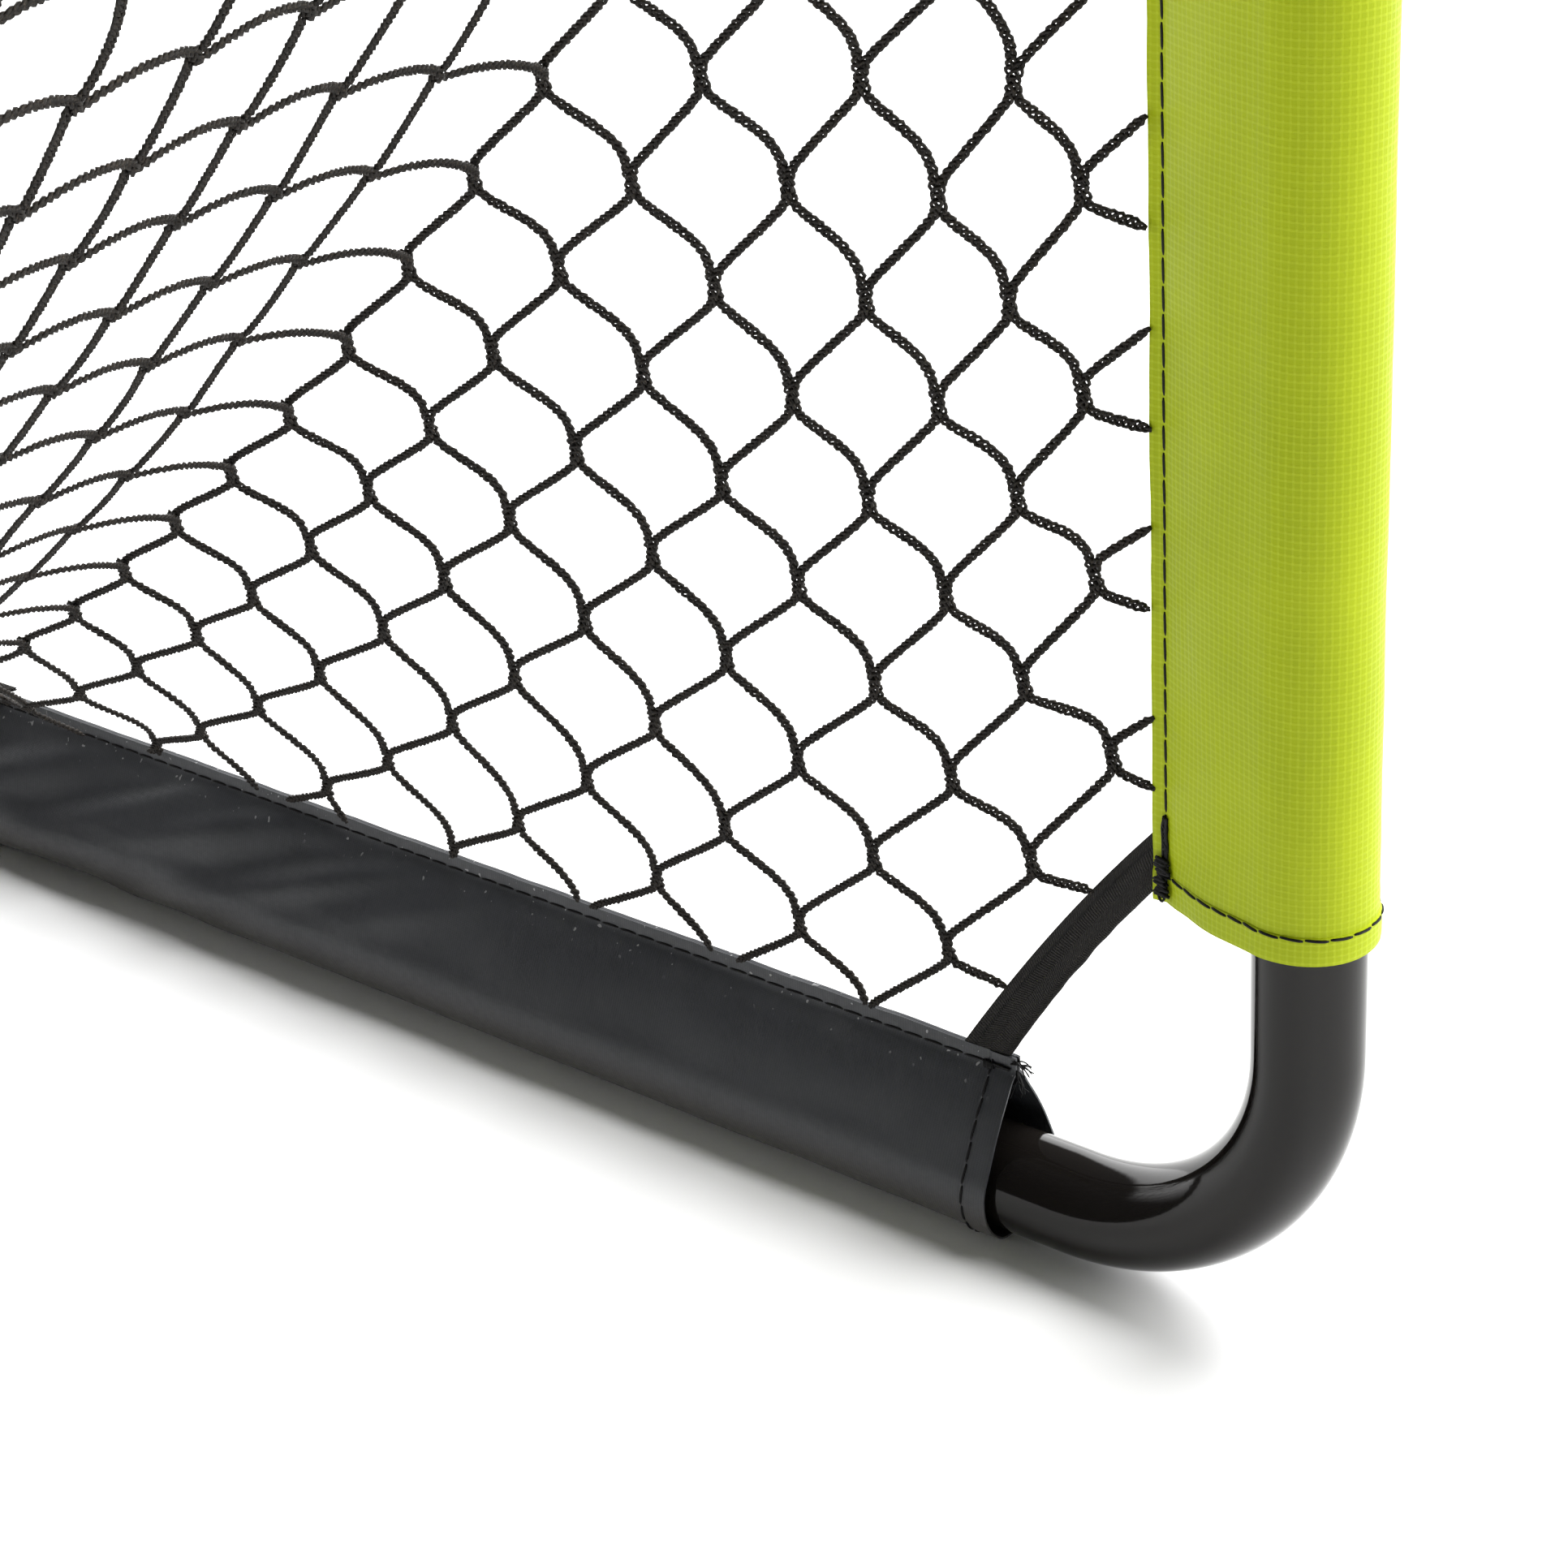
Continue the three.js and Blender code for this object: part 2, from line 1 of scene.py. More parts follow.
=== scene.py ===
# Free-standing ball rebounder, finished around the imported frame.
# Helper geometry is written in millimetres and scaled once when a mesh is made.
import math
import bpy
import numpy as np
from mathutils import Matrix, Vector
from mathutils import noise as mnoise


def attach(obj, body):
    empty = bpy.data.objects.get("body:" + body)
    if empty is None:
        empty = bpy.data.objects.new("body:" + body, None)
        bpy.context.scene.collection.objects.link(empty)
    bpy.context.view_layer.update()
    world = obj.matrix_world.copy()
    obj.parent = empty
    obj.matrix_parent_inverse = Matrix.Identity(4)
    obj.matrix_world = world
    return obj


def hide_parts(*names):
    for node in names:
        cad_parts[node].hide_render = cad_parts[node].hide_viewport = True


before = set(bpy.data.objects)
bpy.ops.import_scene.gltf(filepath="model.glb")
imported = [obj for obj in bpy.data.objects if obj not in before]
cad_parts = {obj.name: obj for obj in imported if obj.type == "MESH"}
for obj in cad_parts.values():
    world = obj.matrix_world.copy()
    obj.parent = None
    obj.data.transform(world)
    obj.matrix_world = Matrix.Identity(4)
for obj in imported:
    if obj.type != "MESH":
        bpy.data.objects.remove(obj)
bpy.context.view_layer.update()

# ---------------------------------------------------------------- dimensions
TUBE_R, TUBE_WALL, SWAGE_R, BEND_R = 16.0, 1.2, 14.35, 78.0
POST_X, POST_Y, REAR_Y, GROUND_Z, TOP_Z = 581.5, -340.0, 340.0, 17.2, 672.5
POST_JOINT_Z, SIDE_JOINT_Y, CROSS_JOINT_X = 340.0, 0.0, 300.0
PLUG, SHOULDER = 45.0, 3.6
BUTTON_IN, BUTTON_HOLE_R = 22.0, 3.8
SLEEVE_R = 18.5
POST_SEAM, BAR_SEAM, REAR_SEAM = 50.6, 43.0, 38.5
POST_HEM_Z, TOP_HEM = 131.0, 104.0
POST_TOP = TOP_Z - TOP_HEM
CROSS_U = np.array([0.0, 0.42, -0.9075]); CROSS_U /= np.linalg.norm(CROSS_U)
REAR_U = np.array([0.0, -0.742, 0.671]); REAR_U /= np.linalg.norm(REAR_U)


def V3(*p):
    return np.array(p, float)


def unit(a):
    a = np.asarray(a, float)
    return a / np.maximum(np.linalg.norm(a, axis=-1, keepdims=True), 1e-12)


def ramp(x, a, b):
    t = np.clip((np.asarray(x, float) - a) / (b - a), 0, 1)
    return t * t * (3 - 2 * t)


def wobble(p, scale, seed=0.0):
    """Smooth noise from -1 to 1 at millimetre points, one wave every scale mm."""
    return mnoise.noise(Vector((p[0] / scale + seed, p[1] / scale - seed * 0.7, p[2] / scale + 0.3 * seed)))


# ------------------------------------------------------------- mesh building
def build(name, verts, quads, tris=None, mat=None, uv=None, mirror=False, smooth=True):
    verts = np.array(verts, float).reshape(-1, 3)
    quads = np.zeros((0, 4), int) if quads is None else np.array(quads, int).reshape(-1, 4)
    tris = np.zeros((0, 3), int) if tris is None else np.array(tris, int).reshape(-1, 3)
    if mirror:
        verts = verts * np.array([-1.0, 1.0, 1.0])
        quads, tris = quads[:, ::-1], tris[:, ::-1]
    me = bpy.data.meshes.new(name)
    me.vertices.add(len(verts))
    me.vertices.foreach_set("co", (verts * 0.001).ravel())
    loops = np.concatenate([quads.ravel(), tris.ravel()])
    starts = np.concatenate([np.arange(len(quads)) * 4, len(quads) * 4 + np.arange(len(tris)) * 3])
    me.loops.add(len(loops))
    me.loops.foreach_set("vertex_index", loops)
    me.polygons.add(len(starts))
    me.polygons.foreach_set("loop_start", starts)
    me.update(calc_edges=True)
    if uv is not None:
        layer = me.uv_layers.new(name="cloth")
        layer.data.foreach_set("uv", np.array(uv, float)[loops].ravel())
    me.validate()
    me.polygons.foreach_set("use_smooth", np.full(len(me.polygons), smooth, bool))
    me.update()
    ob = bpy.data.objects.new(name, me)
    bpy.context.scene.collection.objects.link(ob)
    if mat is not None:
        me.materials.append(mat)
    return ob


class Soup:
    """Collects parts of one mesh."""
    def __init__(self):
        self.v, self.q, self.t, self.n = [], [], [], 0

    def add(self, verts, quads, tris=None):
        self.v.append(np.asarray(verts, float))
        self.q.append(np.asarray(quads, int).reshape(-1, 4) + self.n)
        if tris is not None:
            self.t.append(np.asarray(tris, int).reshape(-1, 3) + self.n)
        self.n += len(verts)

    def make(self, name, mat, mirror=False):
        t = np.concatenate(self.t) if self.t else None
        return build(name, np.concatenate(self.v), np.concatenate(self.q), t, mat, mirror=mirror)


def ring_faces(rings, sides):
    """Quads of a tube of rings and two triangle fans on centre points that follow the rings."""
    i = np.arange(rings - 1)[:, None] * sides
    k = np.arange(sides)[None, :]
    a, b = i + k, i + (k + 1) % sides
    quads = np.stack([a, b, b + sides, a + sides], -1).reshape(-1, 4)
    k = np.arange(sides)
    c0, c1, last = rings * sides, rings * sides + 1, (rings - 1) * sides
    t0 = np.stack([np.full(sides, c0), (k + 1) % sides, k], -1)
    t1 = np.stack([np.full(sides, c1), last + k, last + (k + 1) % sides], -1)
    return quads, np.concatenate([t0, t1])


def tube_along(C, N, radius, sides, squash=1.0):
    """A closed tube round the line C, with N the direction its section is squashed along."""
    C = np.asarray(C, float)
    T = unit(np.gradient(C, axis=0))
    N = np.broadcast_to(N, C.shape)
    N = unit(N - T * (N * T).sum(1, keepdims=True))
    B = np.cross(T, N)
    r = np.broadcast_to(radius, len(C))[:, None, None]
    a = 2 * np.pi * np.arange(sides) / sides
    ring = C[:, None] + r * (np.cos(a)[None, :, None] * B[:, None] + np.sin(a)[None, :, None] * N[:, None] * squash)
    verts = np.concatenate([ring.reshape(-1, 3), C[:1], C[-1:]])
    quads, tris = ring_faces(len(C), sides)
    return verts, quads, tris


# ----------------------------------------------------------------- materials
def node_mat(name):
    m = bpy.data.materials.new(name)
    m.use_nodes = True
    nt = m.node_tree
    bsdf = nt.nodes["Principled BSDF"]
    return m, nt, bsdf


def link(nt, a, b):
    nt.links.new(a, b)


def math_node(nt, op, a, b=None, c=None, clamp=False):
    n = nt.nodes.new("ShaderNodeMath")
    n.operation = op
    n.use_clamp = clamp
    for i, x in enumerate((a, b, c)):
        if x is None:
            continue
        if isinstance(x, (int, float)):
            n.inputs[i].default_value = x
        else:
            link(nt, x, n.inputs[i])
    return n.outputs[0]


def coords(nt, kind="Object"):
    return nt.nodes.new("ShaderNodeTexCoord").outputs[kind]


def noise(nt, vec, scale, detail=3.0, rough=0.55, stretch=None):
    if stretch is not None:
        mp = nt.nodes.new("ShaderNodeMapping")
        mp.inputs["Scale"].default_value = stretch
        link(nt, vec, mp.inputs["Vector"])
        vec = mp.outputs[0]
    n = nt.nodes.new("ShaderNodeTexNoise")
    n.inputs["Scale"].default_value = scale
    n.inputs["Detail"].default_value = detail
    n.inputs["Roughness"].default_value = rough
    link(nt, vec, n.inputs["Vector"])
    return n.outputs["Fac"]


def span(nt, x, a, b, lo=0.0, hi=1.0):
    n = nt.nodes.new("ShaderNodeMapRange")
    n.interpolation_type = "SMOOTHSTEP"
    for key, val in (("From Min", a), ("From Max", b), ("To Min", lo), ("To Max", hi)):
        n.inputs[key].default_value = val
    link(nt, x, n.inputs["Value"])
    return n.outputs[0]


def mix_col(nt, fac, a, b):
    n = nt.nodes.new("ShaderNodeMix")
    n.data_type = "RGBA"
    if isinstance(fac, (int, float)):
        n.inputs[0].default_value = fac
    else:
        link(nt, fac, n.inputs[0])
    for s, x in ((n.inputs[6], a), (n.inputs[7], b)):
        if isinstance(x, tuple):
            s.default_value = (*x, 1.0)
        else:
            link(nt, x, s)
    return n.outputs[2]


def bump(nt, bsdf, height, strength, distance):
    n = nt.nodes.new("ShaderNodeBump")
    n.inputs["Strength"].default_value = strength
    n.inputs["Distance"].default_value = distance
    link(nt, height, n.inputs["Height"])
    link(nt, n.outputs[0], bsdf.inputs["Normal"])


def stripes(nt, x, pitch, width, soft=0.25):
    """1 on lines every pitch, width is their share of it."""
    f = math_node(nt, "FRACT", math_node(nt, "DIVIDE", x, pitch))
    d = math_node(nt, "ABSOLUTE", math_node(nt, "SUBTRACT", f, 0.5))
    return span(nt, d, width / 2, width / 2 + soft, 1.0, 0.0)


def waves(nt, x, pitch):
    """0 to 1, one smooth wave every pitch."""
    s = math_node(nt, "SINE", math_node(nt, "MULTIPLY", x, 2 * math.pi / pitch))
    return math_node(nt, "MULTIPLY_ADD", s, 0.5, 0.5)


def paint_material():
    m, nt, b = node_mat("gloss_black_paint")
    p = coords(nt)
    cloud = noise(nt, p, 9.0, 4.0)
    scuff = noise(nt, p, 160.0, 5.0, 0.7, (1.0, 1.0, 0.25))
    peel = noise(nt, p, 420.0, 2.0)
    base = mix_col(nt, span(nt, cloud, 0.35, 0.7), (0.0056, 0.0048, 0.0043), (0.0080, 0.0068, 0.0060))
    wear = span(nt, scuff, 0.66, 0.8)
    link(nt, mix_col(nt, math_node(nt, "MULTIPLY", wear, 0.25), base, (0.016, 0.015, 0.0145)), b.inputs["Base Color"])
    link(nt, math_node(nt, "ADD", span(nt, cloud, 0.3, 0.75, 0.045, 0.085), math_node(nt, "MULTIPLY", wear, 0.08)), b.inputs["Roughness"])
    b.inputs["Coat Weight"].default_value = 0.0
    b.inputs["Specular IOR Level"].default_value = 0.25
    b.inputs["Coat Roughness"].default_value = 0.04
    bump(nt, b, peel, 0.06, 0.0002)
    return m


def cut_material():
    m, nt, b = node_mat("spring_steel_finish")
    p = coords(nt)
    brush = noise(nt, p, 900.0, 4.0, 0.6, (1.0, 0.2, 0.2))
    stain = noise(nt, p, 120.0, 3.0)
    link(nt, mix_col(nt, span(nt, stain, 0.45, 0.7), (0.52, 0.53, 0.54), (0.33, 0.32, 0.3)), b.inputs["Base Color"])
    b.inputs["Metallic"].default_value = 1.0
    link(nt, span(nt, brush, 0.3, 0.7, 0.22, 0.42), b.inputs["Roughness"])
    bump(nt, b, brush, 0.15, 0.0001)
    return m


def lime_material():
    m, nt, b = node_mat("lime_ripstop")
    uv = nt.nodes.new("ShaderNodeUVMap")
    uv.uv_map = "cloth"
    xy = nt.nodes.new("ShaderNodeSeparateXYZ")
    link(nt, uv.outputs[0], xy.inputs[0])
    p = coords(nt)
    wander = math_node(nt, "MULTIPLY", math_node(nt, "SUBTRACT", noise(nt, p, 70.0, 2.0), 0.5), 0.55)
    x = math_node(nt, "ADD", xy.outputs[0], wander)
    y = math_node(nt, "ADD", xy.outputs[1], wander)
    gx, gy = stripes(nt, x, 2.05, 0.16, 0.16), stripes(nt, y, 2.05, 0.16, 0.16)
    grid = math_node(nt, "MAXIMUM", gx, gy)
    cross = math_node(nt, "MULTIPLY", gx, gy)
    yarn = math_node(nt, "MULTIPLY", waves(nt, xy.outputs[0], 0.34), waves(nt, xy.outputs[1], 0.34))
    slub = noise(nt, p, 260.0, 3.0, 0.6, (1.0, 1.0, 0.12))
    slub2 = noise(nt, p, 260.0, 3.0, 0.6, (0.15, 0.15, 1.0))
    cloud = noise(nt, p, 11.0, 3.0)
    base = mix_col(nt, span(nt, cloud, 0.32, 0.7), (0.306, 0.382, 0.003), (0.354, 0.430, 0.005))
    patch = math_node(nt, "MULTIPLY", span(nt, slub, 0.4, 0.7), 0.16)
    base = mix_col(nt, patch, base, (0.42, 0.50, 0.012))
    base = mix_col(nt, math_node(nt, "MULTIPLY", span(nt, slub2, 0.42, 0.72), 0.12), base, (0.28, 0.35, 0.002))
    base = mix_col(nt, math_node(nt, "MULTIPLY", grid, 0.24), base, (0.48, 0.56, 0.02))
    base = mix_col(nt, math_node(nt, "MULTIPLY", cross, 0.18), base, (0.60, 0.70, 0.05))
    base = mix_col(nt, math_node(nt, "MULTIPLY", yarn, 0.10), base, (0.23, 0.30, 0.001))
    link(nt, base, b.inputs["Base Color"])
    link(nt, math_node(nt, "MULTIPLY_ADD", grid, -0.10, span(nt, slub, 0.3, 0.7, 0.46, 0.58)), b.inputs["Roughness"])
    b.inputs["Specular IOR Level"].default_value = 0.16
    h = math_node(nt, "MULTIPLY_ADD", grid, 1.0, math_node(nt, "MULTIPLY", yarn, 0.35))
    bump(nt, b, h, 0.35, 0.00012)
    return m


def charcoal_material():
    m, nt, b = node_mat("charcoal_coated_cloth")
    uv = nt.nodes.new("ShaderNodeUVMap")
    uv.uv_map = "cloth"
    xy = nt.nodes.new("ShaderNodeSeparateXYZ")
    link(nt, uv.outputs[0], xy.inputs[0])
    p = coords(nt)
    wander = math_node(nt, "MULTIPLY", math_node(nt, "SUBTRACT", noise(nt, p, 60.0, 2.0), 0.5), 0.5)
    wale = waves(nt, math_node(nt, "ADD", xy.outputs[0], wander), 0.92)
    course = waves(nt, math_node(nt, "ADD", xy.outputs[1], wander), 0.55)
    cloud = noise(nt, p, 14.0, 4.0)
    fine = noise(nt, p, 650.0, 3.0, 0.6, (1.0, 0.6, 1.0))
    dust = noise(nt, p, 520.0, 0.0)
    worn = span(nt, noise(nt, p, 38.0, 4.0, 0.65), 0.48, 0.74)
    base = mix_col(nt, span(nt, cloud, 0.3, 0.72), (0.0180, 0.0194, 0.0232), (0.0290, 0.0308, 0.0355))
    base = mix_col(nt, math_node(nt, "MULTIPLY", wale, 0.35), base, (0.040, 0.042, 0.047))
    base = mix_col(nt, math_node(nt, "MULTIPLY", worn, 0.25), base, (0.048, 0.048, 0.050))
    low = nt.nodes.new("ShaderNodeSeparateXYZ")
    link(nt, p, low.inputs[0])
    # painted floor bounce: the lowest 4 to 22 mm of the cloth is mixed towards a lighter brown grey, standing in for
    # light reflected up from the white floor
    base = mix_col(nt, math_node(nt, "MULTIPLY", span(nt, low.outputs[2], 0.004, 0.022, 1.0, 0.0), 0.75), base, (0.080, 0.074, 0.068))
    speck = math_node(nt, "MULTIPLY", span(nt, dust, 0.78, 0.81), span(nt, low.outputs[2], 0.046, 0.053))
    base = mix_col(nt, math_node(nt, "MULTIPLY", speck, 0.5), base, (0.42, 0.42, 0.42))
    link(nt, base, b.inputs["Base Color"])
    rough = math_node(nt, "MULTIPLY_ADD", wale, 0.05, span(nt, fine, 0.3, 0.7, 0.40, 0.50))
    link(nt, math_node(nt, "MULTIPLY_ADD", worn, 0.06, rough), b.inputs["Roughness"])
    b.inputs["Specular IOR Level"].default_value = 0.5
    b.inputs["Sheen Weight"].default_value = 0.06
    b.inputs["Sheen Roughness"].default_value = 0.35
    h = math_node(nt, "MULTIPLY_ADD", wale, 0.7, math_node(nt, "MULTIPLY", course, 0.3))
    h = math_node(nt, "MULTIPLY_ADD", fine, 0.5, h)
    bump(nt, b, h, 0.3, 0.00012)
    return m


def tape_material():
    m, nt, b = node_mat("herringbone_tape")
    uv = nt.nodes.new("ShaderNodeUVMap")
    uv.uv_map = "cloth"
    xy = nt.nodes.new("ShaderNodeSeparateXYZ")
    link(nt, uv.outputs[0], xy.inputs[0])
    p = coords(nt)
    # twill ribs lean one way on one band of the tape and the other way on the next
    band = math_node(nt, "ABSOLUTE", math_node(nt, "SUBTRACT", math_node(nt, "FRACT", math_node(nt, "DIVIDE", xy.outputs[1], 7.4)), 0.5))
    lean = math_node(nt, "MULTIPLY_ADD", band, 4.4, xy.outputs[0])
    rib = waves(nt, lean, 1.02)
    cross = waves(nt, xy.outputs[1], 0.62)
    fibre_and_glint = noise(nt, p, 1500.0, 3.0, 0.6)
    cloud = noise(nt, p, 60.0, 3.0)
    base = mix_col(nt, span(nt, cloud, 0.35, 0.7), (0.0034, 0.0030, 0.0027), (0.0060, 0.0053, 0.0047))
    h = math_node(nt, "MULTIPLY_ADD", rib, 0.8, math_node(nt, "MULTIPLY", cross, 0.25))
    base = mix_col(nt, math_node(nt, "MULTIPLY", rib, 0.5), base, (0.030, 0.027, 0.024))
    # painted shade: a thin band along the fold groove, 3.3 mm in from the open edge, is darkened to near black
    groove_shade_dist = math_node(nt, "ABSOLUTE", math_node(nt, "SUBTRACT", xy.outputs[1], 3.3))
    base = mix_col(nt, span(nt, groove_shade_dist, 0.25, 0.75, 0.85, 0.0), base, (0.0012, 0.0011, 0.0010))
    # painted highlight: fine fibre flecks are mixed towards a lighter brown, standing in for sheen on the black fibres;
    # the same noise also sets roughness and bump
    base = mix_col(nt, math_node(nt, "MULTIPLY", span(nt, fibre_and_glint, 0.56, 0.70), 0.5), base, (0.072, 0.063, 0.054))
    link(nt, base, b.inputs["Base Color"])
    link(nt, span(nt, fibre_and_glint, 0.3, 0.7, 0.62, 0.78), b.inputs["Roughness"])
    b.inputs["Specular IOR Level"].default_value = 0.3
    bump(nt, b, math_node(nt, "MULTIPLY_ADD", fibre_and_glint, 0.4, h), 0.9, 0.00045)
    return m


def net_material():
    m, nt, b = node_mat("knitted_net_cord")
    p = coords(nt)
    fibre_and_glint = noise(nt, p, 1800.0, 3.0, 0.65)
    cloud = noise(nt, p, 45.0, 3.0)
    base = mix_col(nt, span(nt, cloud, 0.35, 0.7), (0.0046, 0.0034, 0.0024), (0.0092, 0.0070, 0.0052))
    # painted highlight: fine fibre flecks are lightened towards brown, standing in for sheen on the dark cord; the same
    # noise also sets roughness and bump
    base = mix_col(nt, math_node(nt, "MULTIPLY", span(nt, fibre_and_glint, 0.50, 0.70), 0.6), base, (0.075, 0.058, 0.044))
    link(nt, base, b.inputs["Base Color"])
    link(nt, span(nt, fibre_and_glint, 0.3, 0.7, 0.55, 0.72), b.inputs["Roughness"])
    b.inputs["Specular IOR Level"].default_value = 0.3
    bump(nt, b, fibre_and_glint, 0.5, 0.0003)
    return m


def thread_material():
    m, nt, b = node_mat("black_sewing_thread")
    p = coords(nt)
    ply_and_glint = noise(nt, p, 2600.0, 2.0, 0.5)
    tint = noise(nt, p, 90.0, 2.0)
    base = mix_col(nt, span(nt, tint, 0.35, 0.7), (0.0014, 0.0014, 0.0015), (0.0030, 0.0029, 0.0031))
    # painted highlight: ply flecks are lightened towards dark grey, standing in for sheen on the thread; the same noise
    # also sets roughness and bump
    link(nt, mix_col(nt, math_node(nt, "MULTIPLY", span(nt, ply_and_glint, 0.5, 0.7), 0.4), base, (0.012, 0.0115, 0.012)), b.inputs["Base Color"])
    link(nt, span(nt, ply_and_glint, 0.3, 0.7, 0.5, 0.66), b.inputs["Roughness"])
    b.inputs["Specular IOR Level"].default_value = 0.22
    bump(nt, b, ply_and_glint, 0.4, 0.0002)
    return m


PAINT, STEEL, LIME, CHARCOAL = paint_material(), cut_material(), lime_material(), charcoal_material()
TAPE, NET, THREAD = tape_material(), net_material(), thread_material()


# --------------------------------------------------------------------- tubes
def corner_tube(name, start, start_kind, corner, end, end_kind, holes, mirror, node):
    d0, d1 = unit(corner - start), unit(end - corner)
    side = unit(np.cross(d0, d1))
    st = []

    def straight(p, q, t):
        n = max(2, int(np.linalg.norm(q - p) / 14) + 1)
        for i in range(n):
            st.append((p + (q - p) * i / (n - 1), t, TUBE_R))

    def reduced(p, t, sgn):
        # from the joint outwards: shoulder, then the plain reduced end with a small lead-in
        rows = [(0.4 + SHOULDER, TUBE_R), (0.4 + SHOULDER * 0.75, TUBE_R - 0.25), (0.4 + SHOULDER * 0.4, (TUBE_R + SWAGE_R) / 2),
                (0.4 + SHOULDER * 0.1, SWAGE_R + 0.12), (0.0, SWAGE_R), (-PLUG * 0.5, SWAGE_R), (-PLUG + 1.2, SWAGE_R), (-PLUG, SWAGE_R - 0.5)]
        return [(p + t * sgn * d, t, r) for d, r in rows]

    if start_kind == "plug":
        st += reduced(start, d0, 1)[::-1]
        first = start + d0 * (0.4 + SHOULDER)
    else:
        st += [(start, d0, TUBE_R - 0.25), (start + d0 * 0.3, d0, TUBE_R)]
        first = start + d0 * 0.3
    straight(first + d0 * 1.0, corner - d0 * (BEND_R + 1), d0)
    centre = corner - d0 * BEND_R + d1 * BEND_R
    steps = 40
    for i in range(steps + 1):
        a = math.pi / 2 * i / steps
        st.append((centre - d1 * BEND_R * math.cos(a) + d0 * BEND_R * math.sin(a), d0 * math.cos(a) + d1 * math.sin(a), TUBE_R))
    if end_kind == "plug":
        last = end - d1 * (0.4 + SHOULDER)
        straight(corner + d1 * (BEND_R + 1), last - d1 * 1.0, d1)
        st += reduced(end, d1, -1)
    else:
        straight(corner + d1 * (BEND_R + 1), end - d1 * 1.3, d1)
        st += [(end - d1 * 0.3, d1, TUBE_R), (end, d1, TUBE_R - 0.25)]
    n = 64
    a = 2 * np.pi * np.arange(n) / n
    outer, inner = [], []
    for p, t, r in st:
        v = unit(np.cross(t, side))
        circle = np.cos(a)[:, None] * side + np.sin(a)[:, None] * v
        outer.append(p + circle * r)
        inner.append(p + circle * (min(r, TUBE_R if r > SWAGE_R + 0.6 else SWAGE_R) - TUBE_WALL))
    m = len(st)
    verts = np.concatenate([np.array(outer).reshape(-1, 3), np.array(inner).reshape(-1, 3)])
    i = np.arange(m - 1)[:, None] * n
    k = np.arange(n)[None, :]
    A, B = i + k, i + (k + 1) % n
    q_out = np.stack([A, B, B + n, A + n], -1).reshape(-1, 4)
    off = m * n
    q_in = np.stack([A, A + n, B + n, B], -1).reshape(-1, 4) + off
    k = np.arange(n)
    k2 = (k + 1) % n
    rim0 = np.stack([k, k + off, k2 + off, k2], -1)
    e = (m - 1) * n
    rim1 = np.stack([e + k, e + k2, e + k2 + off, e + k + off], -1)
    ob = build(name, verts, np.concatenate([q_out, q_in, rim0, rim1]), None, PAINT, mirror=mirror)
    for c, d in holes:
        c, d = np.array(c, float), unit(np.array(d, float))
        if mirror:
            c, d = c * V3(-1, 1, 1), d * V3(-1, 1, 1)
        ref = V3(1, 0, 0) if abs(d[0]) < 0.8 else V3(0, 1, 0)
        cyl_v, cyl_q, cyl_t = tube_along(np.array([c + d * 8, c + d * 11, c + d * 14, c + d * 20]), ref, BUTTON_HOLE_R, 24)
        cutter = build("cutter", cyl_v, cyl_q, cyl_t)
        mod = ob.modifiers.new("hole", "BOOLEAN")
        mod.operation, mod.solver, mod.object = "DIFFERENCE", "EXACT", cutter
        bpy.context.view_layer.update()
        made = bpy.data.meshes.new_from_object(ob.evaluated_get(bpy.context.evaluated_depsgraph_get()))
        ob.modifiers.clear()
        old = ob.data
        ob.data = made
        bpy.data.meshes.remove(old)
        made.name = name
        bpy.data.objects.remove(cutter)
    # orient outwards and keep the rims crisp
    import bmesh
    bm = bmesh.new()
    bm.from_mesh(ob.data)
    bmesh.ops.recalc_face_normals(bm, faces=bm.faces)
    for f in bm.faces:
        f.smooth = True
    for ed in bm.edges:
        ed.smooth = not (len(ed.link_faces) == 2 and ed.calc_face_angle(0) > 0.7)
    bm.to_mesh(ob.data)
    bm.free()
    if not ob.data.materials:
        ob.data.materials.append(PAINT)
    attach(ob, "frame")
    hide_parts(node)
    return ob


post_pin = (POST_X, POST_Y, POST_JOINT_Z + BUTTON_IN)
side_pin = (POST_X, SIDE_JOINT_Y - BUTTON_IN, GROUND_Z)
cross_pin = (CROSS_JOINT_X - BUTTON_IN, POST_Y, TOP_Z)
rear_pin = (CROSS_JOINT_X - BUTTON_IN, REAR_Y, GROUND_Z)
for word, mir in (("right", False), ("left", True)):
    corner_tube(f"front_{word}_bent_tube", V3(POST_X, POST_Y, POST_JOINT_Z), "plug", V3(POST_X, POST_Y, GROUND_Z), V3(POST_X, SIDE_JOINT_Y, GROUND_Z),
                "socket", [(post_pin, (0, 1, 0)), (side_pin, (0, 0, 1))], mir, f"front_{word}_corner_tube")
    corner_tube(f"top_{word}_bent_tube", V3(POST_X, POST_Y, POST_JOINT_Z), "socket", V3(POST_X, POST_Y, TOP_Z), V3(CROSS_JOINT_X, POST_Y, TOP_Z),
                "plug", [(post_pin, (0, 1, 0)), (cross_pin, tuple(CROSS_U))], mir, f"top_{word}_corner_tube")
    corner_tube(f"rear_{word}_bent_tube", V3(POST_X, SIDE_JOINT_Y, GROUND_Z), "plug", V3(POST_X, REAR_Y, GROUND_Z), V3(CROSS_JOINT_X, REAR_Y, GROUND_Z),
                "plug", [(side_pin, (0, 0, 1)), (rear_pin, tuple(REAR_U))], mir, f"rear_{word}_corner_tube")


# ------------------------------------------------------------------- sleeves
HEM = 9.0            # turned hem at each end
FLANGE = 4.8         # seam stitch line to the sewn edge
CLOTH = 0.45
LAYER = 0.9          # turned cloth, double


